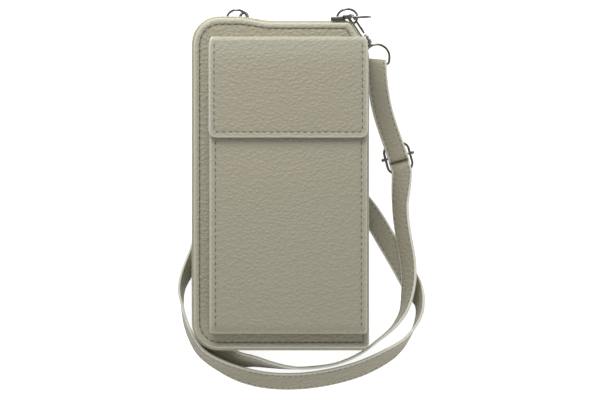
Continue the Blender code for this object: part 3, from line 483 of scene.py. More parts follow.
def row_ends(loop, y):
    """Where a level line meets the outline."""
    found = []
    for (ax, ay), (bx, by) in zip(loop, loop[1:] + loop[:1]):
        if (ay - y) * (by - y) <= 0 and ay != by:
            found.append(ax + (bx - ax) * (y - ay) / (by - ay))
    return min(found), max(found)


# Meshes.
def new_mesh(name, verts, faces):
    mesh = bpy.data.meshes.new(name)
    mesh.from_pydata(verts, [], faces)
    return mesh


def store(mesh, label, values, kind="FLOAT"):
    """Keeps a number or a direction for each point."""
    layer = mesh.attributes.new(label, kind, "POINT")
    layer.data.foreach_set("value" if kind == "FLOAT" else "vector", np.array(values, dtype=np.float32).ravel())


def tidy(mesh):
    """Merged, outward-facing and closed."""
    shape = bmesh.new()
    shape.from_mesh(mesh)
    bmesh.ops.remove_doubles(shape, verts=shape.verts, dist=0.000002)
    bmesh.ops.dissolve_degenerate(shape, dist=0.000002, edges=shape.edges)
    bmesh.ops.recalc_face_normals(shape, faces=shape.faces)
    shape.to_mesh(mesh)
    shape.free()
    return mesh


RIM_INSETS = (
    0.0, 0.0002, 0.0005, 0.0009, 0.0014, 0.0020, 0.0027, 0.0030, 0.0033, 0.0036, 0.0039, 0.0043, 0.0050, 0.0062)


def thin_paint(x, y, d):
    return bell(d, 0.0007)


def shell(name, loop, top, bottom, pitch=0.0028, bend=None, paint=thin_paint, painted_shade=None, more_rows=()):
    """A closed sheet over an outline. Top and bottom are heights, or give them by place and distance from the rim."""
    ys = [point[1] for point in loop]
    rows = sorted(spread(min(ys) + 1e-6, max(ys) - 1e-6, RIM_INSETS, pitch) + list(more_rows))
    shares = np.array(spread(0.0, 1.0, [inset / (HALF_W * 2) for inset in RIM_INSETS], pitch / (HALF_W * 2)))
    left, right = np.array([row_ends(loop, y) for y in rows]).T[:, :, None]
    x = left + (right - left) * shares
    y = np.broadcast_to(np.array(rows)[:, None], x.shape)
    d = rim_distance(loop, x, y)
    places = []
    for side in (top, bottom):
        height = np.broadcast_to(side(x, y, d) if callable(side) else side, x.shape)
        places += np.stack(bend(x, y, height) if bend else (x, y, height), axis=-1).reshape(-1, 3).tolist()
    deep, wide = x.shape
    count = wide * deep
    faces = []
    for a in (j * wide + i for j in range(deep - 1) for i in range(wide - 1)):
        faces.append((a, a + 1, a + wide + 1, a + wide))
        faces.append((count + a, count + a + wide, count + a + wide + 1, count + a + 1))
    around = list(range(wide)) + [j * wide + wide - 1 for j in range(1, deep)]
    around += [(deep - 1) * wide + i for i in range(wide - 2, -1, -1)] + [j * wide for j in range(deep - 2, 0, -1)]
    for a, b in zip(around, around[1:] + around[:1]):
        faces.append((b, a, count + a, count + b))
    mesh = new_mesh(name, places, faces)
    # The rim attribute holds the pale edge paint; the seam attribute holds painted shade, where a piece gives it.
    for label, found in (("rim", paint), ("seam", painted_shade)):
        value = np.broadcast_to(found(x, y, d) if found else 0.0, x.shape)
        store(mesh, label, [value, value])
    return tidy(mesh)


def loft(name, rings, closed=False, rim=None):
    """A skin through rings of equal count, capped unless it closes on itself."""
    count, total = len(rings[0]), len(rings)
    faces = []
    for k in range(total if closed else total - 1):
        a, b = k * count, ((k + 1) % total) * count
        for i in range(count):
            j = (i + 1) % count
            faces.append((a + i, a + j, b + j, b + i))
    if not closed:
        faces.append(tuple(range(count))[::-1])
        faces.append(tuple((total - 1) * count + i for i in range(count)))
    mesh = new_mesh(name, [tuple(place) for ring in rings for place in ring], faces)
    if rim is not None:
        store(mesh, "rim", rim * total)
    return tidy(mesh)


def upright(x, y, way, push, bulge, low, tall, shares=tuple(k / 8 for k in range(9))):
    """Places up one face of a wall, which swells toward a way."""
    found = []
    for share in shares:
        out = push + bulge * sin(pi * share)
        found.append((x + way[0] * out, y + way[1] * out, low + tall * share))
    return found


def tube(points, radius, closed=False, sides=14):
    """A round wire along points, its rings turned with the way. The radius is one number, or one for each point."""
    points = [Vector(point) for point in points]
    last = len(points) - 1
    rings = []
    side = None
    for i, point in enumerate(points):
        before = points[i - 1] if (i or closed) else point
        after = points[(i + 1) % len(points)] if (i < last or closed) else point
        travel = (after - before).normalized()
        if side is None:
            side = travel.orthogonal().normalized()
        side = (side - travel * side.dot(travel)).normalized()
        other = travel.cross(side)
        size = radius[i] if isinstance(radius, list) else radius
        rings.append([point + side * (size * c) + other * (size * s) for c, s in circle(sides)])
    return loft("tube", rings, closed)


def lathe(profile, place):
    """A turned shape: radii by distance along the place's -Y, closed at both ends."""
    return loft("lathe", [
        [place @ Vector((radius * c, -along, radius * s)) for c, s in circle(28)] for along, radius in profile])


def bar(start, end, radius, sides=12):
    """A short rod with softly turned ends."""
    start, end = Vector(start), Vector(end)
    way = (end - start).normalized()
    ends = ((0.0, 0.55), (0.25, 0.88), (0.6, 1.0))
    points = [start + way * (along * radius) for along, _ in ends]
    points += [start + way * ((end - start).length - along * radius) for along, _ in ends[::-1]]
    return tube(points, [radius * share for _, share in ends + ends[::-1]], sides=sides)


def box_shape(low, high, soften=0.0002):
    shape = bmesh.new()
    bmesh.ops.create_cube(shape, size=1.0)
    low, high = Vector(low), Vector(high)
    for vert in shape.verts:
        vert.co = (low + high) / 2 + Vector(vert.co[i] * (high - low)[i] for i in range(3))
    bmesh.ops.bevel(shape, geom=shape.edges, offset=soften, segments=2, profile=0.5, affect="EDGES")
    mesh = bpy.data.meshes.new("block")
    shape.to_mesh(mesh)
    shape.free()
    return mesh


# Pieces.
def placed(name, data):
    made = bpy.data.objects.new(name, data)
    bpy.context.scene.collection.objects.link(made)
    return made


def evaluated(holder):
    """An object's mesh with its modifiers run."""
    bpy.context.view_layer.update()
    return bpy.data.meshes.new_from_object(holder.evaluated_get(bpy.context.evaluated_depsgraph_get()))


def wallet_piece(name, mesh, coat, body, slot, *nodes):
    """A piece moved to where the model stands, with its finish, its body and the solids that it replaces."""
    mesh.name = name
    mesh.materials.clear()
    mesh.materials.append(coat)
    mesh.transform(Matrix.Translation(SHIFT))
    mesh.shade_smooth()
    mesh.set_sharp_from_angle(angle=radians(48.0))
    made = placed(name, mesh)
    if body:
        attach(made, body)
    if nodes:
        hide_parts(*nodes)
    return made


def leather_sheet(name, loop, top, bottom, body, *nodes, **shape):
    return wallet_piece(name, shell(name, loop, top, bottom, **shape), grained_leather(), body, "leather", *nodes)


def cloth_sheet(name, loop, top, bottom, body, node, **shape):
    return wallet_piece(name, shell(name, loop, top, bottom, **shape), lining_cloth(), body, "lining", node)


def metal_piece(name, parts, body, node):
    """One nickel piece from several meshes."""
    shape = bmesh.new()
    for mesh in parts:
        shape.from_mesh(mesh)
        bpy.data.meshes.remove(mesh)
    mesh = bpy.data.meshes.new(name)
    shape.to_mesh(mesh)
    shape.free()
    wallet_piece(name, mesh, plated("nickel_plate", tuple(colours().metal), 0.16, 0.14), body, "steel", node)


def repeat_tree(kind):
    """Points with a way and an up direction each take one small shape: a stitch or a tooth."""
    tree = bpy.data.node_groups.new(kind + "_repeat", "GeometryNodeTree")
    for label, holds in (
        ("Points", "Geometry"), ("Length", "Float"), ("Width", "Float"), ("Height", "Float"), ("Finish", "Material"),
    ):
        tree.interface.new_socket(label, in_out="INPUT", socket_type="NodeSocket" + holds)
    tree.interface.new_socket("Repeats", in_out="OUTPUT", socket_type="NodeSocketGeometry")
    nodes = Nodes(tree)
    start = tree.nodes.new("NodeGroupInput").outputs
    size = nodes.add("CombineXYZ", x=start["Length"], y=start["Width"], z=start["Height"])
    if kind == "stitch":
        shape = nodes.add("GeometryNodeMeshUVSphere", segments=6, rings=4, radius=0.5)
    else:
        shape = nodes.add("GeometryNodeMeshCylinder", vertices=8, radius=0.5, depth=1.0)
    turned = {}
    for label, settings in (("way", {"axis": "X"}), ("up", {"axis": "Z", "pivot_axis": "X"})):
        read = nodes.add("GeometryNodeInputNamedAttribute", data_type="FLOAT_VECTOR", name=label)
        turned = {"rotation": nodes.add("FunctionNodeAlignRotationToVector", vector=read, **settings, **turned)}
    made = nodes.add(
        "GeometryNodeInstanceOnPoints", points=start["Points"],
        instance=nodes.add("GeometryNodeTransform", geometry=shape, scale=size), **turned)
    made = nodes.add("GeometryNodeRealizeInstances", geometry=made)
    made = nodes.add("GeometryNodeSetMaterial", geometry=made, material=start["Finish"])
    tree.links.new(made, tree.nodes.new("NodeGroupOutput").inputs[0])
    return tree


def repeats(name, kind, marks, size, coat, body, slot, *nodes):
    """One piece from places, each with its way and up direction."""
    tree = bpy.data.node_groups.get(kind + "_repeat") or repeat_tree(kind)
    points = new_mesh(name + "_points", [tuple(mark[0]) for mark in marks], [])
    store(points, "way", [mark[1] for mark in marks], "FLOAT_VECTOR")
    store(points, "up", [mark[2] for mark in marks], "FLOAT_VECTOR")
    holder = placed(name + "_points", points)
    change = holder.modifiers.new("repeat", "NODES")
    change.node_group = tree
    values = dict(zip(("Length", "Width", "Height"), size), Finish=coat)
    for item in tree.interface.items_tree:
        if item.in_out == "INPUT" and item.name in values:
            change[item.identifier] = values[item.name]
    mesh = evaluated(holder)
    bpy.data.objects.remove(holder, do_unlink=True)
    wallet_piece(name, mesh, coat, body, slot, *nodes)


def stitches(name, marks, body, length=None, width=None, height=0.0005):
    size = (length or sizes().stitch_length, width or sizes().thread_width, height)
    repeats(name, "stitch", marks, size, waxed_thread(), body, "leather")


def marks_along(places, pitch, ups=UP, start=0.5):
    """Even places along a line of points, each with its way and up."""
    places = [Vector(place) for place in places]
    if isinstance(ups, tuple):
        ups = [ups] * len(places)
    reached = [0.0]
    for a, b in zip(places, places[1:]):
        reached.append(reached[-1] + (b - a).length)
    count = max(1, int(reached[-1] / pitch))
    marks, k = [], 0
    for i in range(count):
        along = (i + start) * reached[-1] / count
        while k < len(places) - 2 and reached[k + 1] < along:
            k += 1
        share = (along - reached[k]) / max(reached[k + 1] - reached[k], 1e-9)
        way = (places[k + 1] - places[k]).normalized()
        marks.append((places[k].lerp(places[k + 1], share), way, Vector(ups[k]).lerp(Vector(ups[k + 1]), share)))
    return marks


# Case.
CASE_CORNERS = [
    (HALF_W, -HALF_H, 0.003), (HALF_W, HALF_H - CHAMFER[1], 0.003), (HALF_W - CHAMFER[0], HALF_H, 0.003),
    (-HALF_W, HALF_H, CORNER_R), (-HALF_W, -HALF_H, CORNER_R),
]


def raised(x, y):
    """The top edge stands higher over the left ring."""
    share = smooth_step((-0.0055 - x) / 0.021) * smooth_step((y - 0.070) / (HALF_H - 0.070))
    return y + TOP_RISE * share


def case_bend(x, y, height):
    return x, raised(x, y), height


# Painted shade along the stitch groove of the border.
def seam_shade(x, y, d):
    return 0.75 * bell(d - BORDER_SEAM, 0.00042)


def border_paint(x, y, d):
    return 0.40 * bell(d, 0.0009) + 0.12 * (1.0 - smooth_step((d - 0.0028) / 0.0006))


def clear_of_pocket(x, y):
    """1 where nothing lies over the cover, 0 under the pocket and its flap."""
    gap_x = np.maximum(POCKET[0] - 0.0008 - x, x - POCKET[1] - 0.0004)
    gap_y = np.maximum(POCKET[2] - 0.0008 - y, y - FLAP[3] - 0.0006)
    return smooth_step(np.maximum(gap_x, gap_y) / 0.0012)


def border_height(d):
    """The bound border: rolled at its rim, pressed in where it is sewn, full between."""
    groove = 0.00042 * bell(d - BORDER_SEAM, 0.00050)
    full = 0.00012 * smooth_step(d / 0.0022) * (1.0 - smooth_step((d - BORDER_SEAM) / 0.0006))
    inner = 0.00016 * smooth_step((d - BORDER_SEAM) / 0.0009)
    return -0.00110 * rolled(d, 0.0022) - groove + full - inner


def cover_top(x, y, d):
    return COVER_Z[1] + border_height(d) * (0.35 + 0.65 * clear_of_pocket(x, y)) - 0.00004


def back_bottom(x, y, d):
    return BACK_Z[0] - border_height(d) + 0.00015


class WALLET_OT_case(bpy.types.Operator):
    """Makes the cover, the back and the spine in grained leather with a bound border"""
    bl_idname = "wallet.case"
    bl_label = "Case"

    def execute(self, context):
        bound = {"bend": case_bend, "paint": border_paint, "painted_shade": seam_shade}
        loop = rounded(CASE_CORNERS)
        leather_sheet("cover_leather", loop, cover_top, COVER_Z[0], "cover", "front_panel", **bound)
        leather_sheet("back_leather", loop, BACK_Z[1], back_bottom, "case", "back_panel", **bound)
        low, high = INNER_Z[0], COVER_Z[0] - 0.00003
        shares = (0.0, 0.12, 0.25, 0.38, 0.5, 0.62, 0.72, 0.79, 0.84, 0.88, 0.91, 0.94, 0.97, 1.0)
        rings = []
        for y in np.linspace(-HALF_H + LINING_INSET, HALF_H - CHAMFER[1] - LINING_INSET, 60):
            outer, inner = (
                upright(HALF_W - inset, y, (1.0, 0.0), 0.0, bulge, low, high - low, shares)
                for inset, bulge in ((0.0004, 0.0004), (0.0014, 0.0003)))
            rings.append(outer + inner[::-1])
        spine = wallet_piece("spine_leather", loft("spine", rings), grained_leather(), None, "leather", "spine")
        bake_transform(spine)
        return {"FINISHED"}


class WALLET_OT_case_stitches(bpy.types.Operator):
    """Sews the border of the cover and the back"""
    bl_idname = "wallet.case_stitches"
    bl_label = "Case stitches"

    def execute(self, context):
        line = rounded(offset(CASE_CORNERS, BORDER_SEAM))
        x, y = np.array(dense(line + line[:1])).T
        for name, body, height, up, least in (
            ("cover_stitches", "cover", COVER_Z[1] - 0.00030, 1.0, 0.6),
            ("back_stitches", "case", BACK_Z[0] + 0.00034, -1.0, -1.0),
        ):
            runs = [[]]
            for px, py, clear in zip(x, raised(x, y), clear_of_pocket(x, y)):
                if clear > least:
                    runs[-1].append((px, py, height))
                elif runs[-1]:
                    runs.append([])
            marks = []
            for run in runs:
                if len(run) > 3:
                    marks += marks_along(run, sizes().stitch_pitch, (0.0, 0.0, up))
            stitches(name, marks, body, sizes().stitch_length * 1.15, sizes().thread_width * 1.3, 0.0006)
        return {"FINISHED"}


# Inside.
LINING_INSET = 0.0021
LINING_T = 0.0004
# The backing goes past the card strips by a margin. The coin pocket starts further in and is shorter.
CARD_MARGIN = 0.003
BACKING_TALL = 0.147
COIN_INSET = 0.0045
COIN_TOP = 0.0165
COIN_ZIP_Y = 0.0085
COIN_TOOTH_PITCH = 0.0013
COIN_TOOTH = (0.0008, 0.0030, 0.0006)


def ripple(x, y):
    return 0.00008 * np.sin(x * 190.0) * np.sin(y * 130.0)


class WALLET_OT_inside(bpy.types.Operator):
    """Makes the lining, the card slots and the coin pocket"""
    bl_idname = "wallet.inside"
    bl_label = "Inside"

    def execute(self, context):
        loop = rounded(offset(CASE_CORNERS, LINING_INSET))
        low, high = INNER_Z
        left, right = CARD_X
        cloth_sheet(
            "back_cloth", loop, lambda x, y, d: low + LINING_T + ripple(x, y), low + GAP, "case", "back_lining",
            pitch=0.004, bend=case_bend)
        cloth_sheet(
            "front_cloth", loop, high - GAP, lambda x, y, d: high - LINING_T + ripple(x, y), "cover", "front_lining",
            pitch=0.004, bend=case_bend)
        z = low + 0.0008
        cloth_sheet(
            "card_cloth", panel(left, right, CARD_LOW - CARD_MARGIN, CARD_LOW + BACKING_TALL, 0.003), z + 0.0005, z,
            "case", "card_backing", pitch=0.006)
        z += 0.0008
        marks = []
        for i, name in enumerate(("card_slot_lower", "card_slot_middle", "card_slot_upper")):
            y0 = CARD_LOW + i * CARD_STEP
            y1 = y0 + CARD_H

            def thumb_dip(x, y, height, y1=y1):
                share = smooth_step(1.0 - np.abs(x) / 0.0075) * smooth_step((y - y1 + 0.012) / 0.012)
                return x, y - 0.0042 * share, height

            def sewn_top(x, y, d, z=z):
                return z + 0.00078 - 0.0003 * bell(d - CARD_SEAM, 0.0004) * (d < 0.003)
            loop = panel(left, right, y0, y1, 0.001)
            leather_sheet(name + "_leather", loop, sewn_top, z, "case", name, pitch=0.003, bend=thumb_dip)
            seam_z = z + 0.00062
            for x in (left + CARD_SEAM, right - CARD_SEAM):
                marks += marks_along(
                    straight((x, y0 + 0.002, seam_z), (x, y1 - 0.002, seam_z), 20), sizes().stitch_pitch)
            y = y0 + CARD_SEAM
            marks += marks_along(
                straight((left + 0.002, y, seam_z), (right - 0.002, y, seam_z), 40), sizes().stitch_pitch)
        stitches("card_stitches", marks, "case", width=0.0005, height=0.0003)
        z += 0.0011
        cloth_sheet(
            "coin_cloth", panel(left + COIN_INSET, right, CARD_LOW - CARD_MARGIN, COIN_TOP, 0.004),
            lambda x, y, d: z + 0.0006 + 0.0017 * smooth_step(d / 0.009) + ripple(x, y), z, "case", "coin_pocket",
            pitch=0.004)
        teeth_z = z + 0.00215
        line = straight((left + 0.009, COIN_ZIP_Y, teeth_z), (right - 0.005, COIN_ZIP_Y, teeth_z), 60)
        repeats(
            "coin_zip_teeth", "tooth", marks_along(line, COIN_TOOTH_PITCH), COIN_TOOTH, coil_plastic(), "case",
            "zip_coil")
        return {"FINISHED"}


# Zip. Heights of the back and front coils, a tooth's length, width and height, and the cord's radius.
COIL_Z = (0.01480, 0.01600)
TOOTH = (0.00095, 0.0029, 0.00086)
CORD_R = 0.00040


def zip_path(inset, more):
    """The zip's way round, from the chamfer over the top and left to the bottom. More takes its ends to the spine."""
    rise = HALF_H + TOP_RISE
    corners = [
        (HALF_W - 0.003 + 0.0025 * more, HALF_H - 0.0135 - 0.00375 * more, 0.0), (HALF_W - CHAMFER[0], HALF_H, 0.003),
        (-0.008, HALF_H, 0.04), (-0.024, rise, 0.04), (-HALF_W, rise, CORNER_R), (-HALF_W, -HALF_H, CORNER_R),
        (0.046 + 0.0055 * more, -HALF_H, 0.0),
    ]
    return rounded(offset(corners, inset, closed=False), closed=False)


class WALLET_OT_zip(bpy.types.Operator):
    """Makes the zip's tapes and its two rows of teeth"""
    bl_idname = "wallet.zip"
    bl_label = "Zip"

    def execute(self, context):
        cloth = woven("zip_cloth", tuple(colours().tape), 1300.0, 0.00018)
        for side, body, (low, high) in (("back", "case", BACK_TAPE_Z), ("front", "cover", FRONT_TAPE_Z)):
            rings = []
            for (ox, oy), (ix, iy) in zip(zip_path(0.0005, 1.0), zip_path(0.0013, 1.0)):
                away = Vector((ox - ix, oy - iy)).normalized()
                rings.append(
                    upright(ox, oy, away, -0.0001, 0.00045, low, high - low)
                    + upright(ix, iy, away, 0.0, 0.0003, low, high - low)[::-1])
            wallet_piece(side + "_tape", loft("tape", rings), cloth, body, "zip_tape", side + "_zip_tape")
        middle = dense(zip_path(-0.0002, 0.8), 0.0006)
        core = dense(zip_path(0.0008, 0.8), 0.003)
        for side, body, z, start in (("back", "case", COIL_Z[0], 0.25), ("front", "cover", COIL_Z[1], 0.75)):
            marks = marks_along([(x, y, z) for x, y in middle], sizes().tooth_pitch, start=start)
            repeats(
                side + "_coil", "tooth", marks, TOOTH, coil_plastic(), body, "zip_coil", side + "_zip_teeth")
            cord = tube([(x, y, z) for x, y in core], CORD_R, sides=10)
            wallet_piece(side + "_coil_cord", cord, cloth, body, "zip_coil")
        return {"FINISHED"}


# Phone pocket.
POCKET_WALL_T = 0.0010


def pocket_crown(x, y):
    wide = (x - (POCKET[0] + POCKET[1]) / 2) / ((POCKET[1] - POCKET[0]) / 2)
    below = smooth_step((FLAP[2] - 0.002 - y) / 0.030) * smooth_step((y - POCKET[2]) / 0.030)
    return sizes().pocket_crown * np.clip(1.0 - wide ** 2, 0.0, 1.0) * below


def from_pocket_side(x):
    return np.minimum(x - POCKET[0], POCKET[1] - x)


def pocket_top(x, y, d):
    fall = 0.0009 * rolled(d, 0.0013) + 0.0044 * rolled(y - POCKET[2], 0.0060)
    groove = 0.00035 * bell(from_pocket_side(x) - POCKET_SEAM, 0.0005)
    return POCKET_Z[1] - GAP - fall - groove + pocket_crown(x, y)


def pocket_under(x, y, d):
    return pocket_top(x, y, d) - 0.0014 * smooth_step(d / 0.001) - 0.0002


def pocket_paint(x, y, d):
    side = from_pocket_side(x)
    return 0.45 * bell(side, 0.0009) + 0.11 * bell(side, 0.0026)


class WALLET_OT_pocket(bpy.types.Operator):
    """Makes the phone pocket: a front with painted edges on soft walls, and a seat for the snap"""
    bl_idname = "wallet.pocket"
    bl_label = "Phone pocket"

    def execute(self, context):
        left, right, bottom, top = POCKET
        face = leather_sheet(
            "pocket_face", panel(left, right, bottom, top, 0.0025, 0.001), pocket_top, pocket_under, "cover",
            "phone_pocket", paint=pocket_paint)
        seat = placed("seat", tube([(*SNAP_AT, 0.031), (*SNAP_AT, 0.036)], SNAP_SEAT_R, sides=40))
        seat.data.transform(Matrix.Translation(SHIFT))
        cut = face.modifiers.new("seat", "BOOLEAN")
        cut.operation = "DIFFERENCE"
        cut.object = seat
        mesh = evaluated(face)
        face.modifiers.clear()
        face.data = mesh
        bpy.data.objects.remove(seat, do_unlink=True)
        path = dense(rounded([
            (right - 0.0002, top, 0.0), (right - 0.0002, bottom + 0.0004, 0.0028),
            (left + 0.0002, bottom + 0.0004, 0.0028), (left + 0.0002, top, 0.0)], closed=False), 0.004)
        low = POCKET_Z[0] + GAP
        rings = []
        for i, (x, y) in enumerate(path):
            travel = travel_at(path, i)
            inward = Vector((-travel.y, travel.x))
            if inward.dot(Vector(((left + right) / 2 - x, -y))) < 0:
                inward = -inward
            near_end = float(smooth_step((bottom + 0.010 - y) / 0.010))
            tall = POCKET_Z[1] - 0.0010 - 0.0036 * near_end - POCKET_Z[0]
            rings.append(
                upright(x, y, inward, 0.0, 0.0009, low, tall)
                + upright(x, y, inward, POCKET_WALL_T, 0.0006, low, tall)[::-1])
        wallet_piece("pocket_walls", loft("walls", rings), grained_leather(), "cover", "leather")
        marks = []
        for x in (left + POCKET_SEAM, right - POCKET_SEAM):
            ys = np.linspace(bottom + 0.004, top - 0.004, 90)
            heights = pocket_top(x, ys, np.full(ys.shape, POCKET_SEAM)) + 0.00006
            marks += marks_along([(x, y, z) for y, z in zip(ys, heights)], sizes().stitch_pitch)
        stitches("pocket_stitches", marks, "cover")
        return {"FINISHED"}


# Flap: its leather is measured along from the front edge, over the flat, round the roll and down the wall.
FLAP_FLAT = FLAP[3] - FLAP_ROLL_R - FLAP[2]
FLAP_ROLL = FLAP_ROLL_R * pi / 2
FLAP_LONG = FLAP_FLAT + FLAP_ROLL + (FLAP_Z[1] - FLAP_ROLL_R - FLAP_FOOT_Z)
FLAP_CORNER_R = 0.0045
FLAP_LINING_INSET = 0.003
FLAP_LINING_TOP = 0.0855


def flap_bend(x, s, height):
    middle, half = (FLAP[0] + FLAP[1]) / 2, (FLAP[1] - FLAP[0]) / 2
    tucked = 0.0013 * smooth_step((s - FLAP_FLAT + 0.0030) / (0.0030 + FLAP_ROLL))
    x = middle + (x - middle) * (1.0 - tucked / half)
    turn = np.clip((s - FLAP_FLAT) / FLAP_ROLL_R, 0.0, pi / 2)
    down = np.maximum(s - FLAP_FLAT - FLAP_ROLL, 0.0)
    y = FLAP[2] + np.minimum(s, FLAP_FLAT) + (FLAP_ROLL_R + height) * np.sin(turn)
    return x, y, FLAP_Z[1] - FLAP_ROLL_R + (FLAP_ROLL_R + height) * np.cos(turn) - down


def flap_out(x, s, d):
    wide = np.clip(1.0 - ((x - (FLAP[0] + FLAP[1]) / 2) / 0.048) ** 2, 0.0, 1.0)
    crown = 0.00035 * wide * smooth_step(s / 0.02) * smooth_step((FLAP_FLAT - s) / 0.02)
    groove = 0.0003 * bell(d - FLAP_SEAM, 0.0005) * (s < FLAP_FLAT)
    return crown - 0.0005 * rolled(d, 0.0007) - groove - GAP


def flap_in(x, s, d):
    return -0.0012 + 0.00035 * (1.0 - smooth_step(d / 0.0007))


def flap_paint_and_fold_highlight(x, s, d):
    """Painted edges, and toward the fold a painted highlight with the grain faded out."""
    # The last term is the painted highlight where the flap rolls over its fold.
    return 0.50 * bell(d, 0.0010) + 0.10 * bell(d, 0.0028) + 0.12 * smooth_step((s - FLAP_FLAT + 0.016) / 0.016)


class WALLET_OT_flap(bpy.types.Operator):
    """Makes the flap in one length of leather with the wall that closes the pocket"""
    bl_idname = "wallet.flap"
    bl_label = "Flap"

    def execute(self, context):
        left, right, low, high = FLAP
        flap = leather_sheet(
            "flap_leather", panel(left, right, 0.0, FLAP_LONG, FLAP_CORNER_R, 0.0006), flap_out, flap_in, None,
            "flap", "flap_root", bend=flap_bend, paint=flap_paint_and_fold_highlight,
            more_rows=[FLAP_FLAT + FLAP_ROLL * k / 12 for k in range(13)])
        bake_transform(flap)
        seam_end = FLAP_FLAT - 0.0005
        seam = rounded(offset([
            (left, seam_end, 0.0), (left, 0.0, FLAP_CORNER_R), (right, 0.0, FLAP_CORNER_R), (right, seam_end, 0.0),
        ], FLAP_SEAM, closed=False), closed=False)
        x, s = np.array(dense(seam)).T
        line = flap_bend(x, s, flap_out(x, s, np.full(x.shape, FLAP_SEAM)) + 0.00006)
        stitches("flap_stitches", marks_along(list(zip(*line)), sizes().stitch_pitch), "flap")
        inset = FLAP_LINING_INSET
        loop = panel(left + inset, right - inset, low + inset, FLAP_LINING_TOP, 0.003)
        cloth_sheet("flap_cloth", loop, FLAP_LINING_Z[1], FLAP_LINING_Z[0], "flap", "flap_lining", pitch=0.005)
        return {"FINISHED"}


# Rings, tabs and hooks. Angles are in degrees.
def hook_place(nose, heading, pitch, roll):
    """Where a hook lies: its nose at the origin, its swivel along -Y."""
    ahead = Vector((*heading, 0.0)).normalized() * cos(radians(pitch)) - Vector(UP) * sin(radians(pitch))
    flat = ahead.cross(Vector(UP)).normalized()
    side = flat * cos(radians(roll)) + flat.cross(ahead) * sin(radians(roll))
    place = Vector((*nose, BAR_Z + SWIVEL_CENTRE * sin(radians(pitch))))
    return Matrix.Translation(place) @ Matrix((side, -ahead, side.cross(-ahead))).transposed().to_4x4()


HOOKS = {
    "left": hook_place((-0.0226, 0.1039), (0.0, -1.0), 2.5, 40.9),
    "right": hook_place((0.0411, 0.1022), (0.549, -0.836), 3.7, 59.7),
}
STRAP_HEADINGS = {"left": (-0.16, -0.987), "right": (-0.08, -0.997)}
HOOK_WIRE_R = 0.00098
HOOK_NOSE_R = 0.00085
HOOK_STEM_R = 0.00095
# The tabs' eye, their leather round it, half their width, their length and their softened edges.
TAB_EYE_R = 0.0019
TAB_T = 0.0009
TAB_HALF_W = 0.0018
TAB_LONG = 0.011
TAB_SOFT = 0.0002
# Distance along the hook and radius, for the swivel's barrel, the collar under it and the lever.
BARREL = (
    (0.0152, 0.0004), (0.0153, 0.0014), (0.0156, 0.0021), (0.0160, 0.0026), (0.0166, 0.00276), (0.0172, 0.0026),
    (0.0175, 0.00225), (0.0179, 0.00225), (0.0182, 0.0026), (0.0188, 0.00276), (0.0196, 0.00276), (0.0203, 0.0026),
    (0.0207, 0.0023), (0.02105, 0.0018), (0.02105, 0.00145), (0.0205, 0.00142), (0.0180, 0.00142), (0.0180, 0.0006),
)
COLLAR = ((0.02125, 0.0011), (0.0213, 0.0016), (0.0215, 0.0017), (0.0218, 0.0016), (0.0219, 0.0011))
LEVER = (
    (0.0049, 0.0004), (0.0052, 0.00058), (0.0056, 0.00069), (0.0075, 0.0007), (0.0100, 0.0007), (0.0125, 0.0007),
    (0.0134, 0.0006), (0.0138, 0.0004),
)


class WALLET_OT_rings(bpy.types.Operator):
    """Makes the two rings and the leather tabs that hold them"""
    bl_idname = "wallet.rings"
    bl_label = "Rings and tabs"

    def execute(self, context):
        for side, (x, y, z), tilt, roll in (("left", LEFT_EYE, -30.5, 2.4), ("right", RIGHT_EYE, -37.1, -3.0)):
            slope = Vector((0.0, cos(radians(tilt)), -sin(radians(tilt))))
            over = Vector((0.0, sin(radians(tilt)), cos(radians(tilt))))
            across = Vector((cos(radians(roll)), 0.0, 0.0)) + over * sin(radians(roll))
            centre = Vector((x, y, z)) + slope * RING_R
            line = [centre + across * (RING_R * c) + slope * (RING_R * s) for c, s in circle(72)]
            body = node = side + "_ring"
            metal_piece(side + "_ring_wire", [tube(line, WIRE_R, closed=True, sides=16)], body, node)
            y += 0.0003
            reach = TAB_EYE_R + TAB_T
            top = BACK_Z[0] - 0.0003
            low = top - 0.0012
            outline = rounded([
                (y - TAB_LONG, low, 0.0004), (y - reach, low, 0.0006), (y - reach, z - reach, reach),
                (y + reach, z - reach, reach), (y + reach, top, reach), (y - TAB_LONG, top, 0.0004)], step=15.0)
            drawn = bpy.data.curves.new("tab", "CURVE")
            drawn.dimensions = "2D"
            drawn.fill_mode = "BOTH"
            drawn.extrude = TAB_HALF_W
            drawn.bevel_depth = TAB_SOFT
            drawn.bevel_resolution = 2
            drawn.offset = -TAB_SOFT
            for loop in (outline, [(y + TAB_EYE_R * c, z + TAB_EYE_R * s) for c, s in circle(28)]):
                spline = drawn.splines.new("POLY")
                spline.points.add(len(loop) - 1)
                for point, (a, b) in zip(spline.points, loop):
                    point.co = (a, b, 0.0, 1.0)
                spline.use_cyclic_u = True
            holder = placed("tab", drawn)
            mesh = evaluated(holder)
            bpy.data.objects.remove(holder, do_unlink=True)
            mesh.transform(Matrix(((0, 0, 1, x - 0.0013), (1, 0, 0, 0), (0, 1, 0, 0), (0, 0, 0, 1))))
            wallet_piece(side + "_tab_loop", tidy(mesh), smooth_leather(), "case", "leather", side + "_tab")
        return {"FINISHED"}


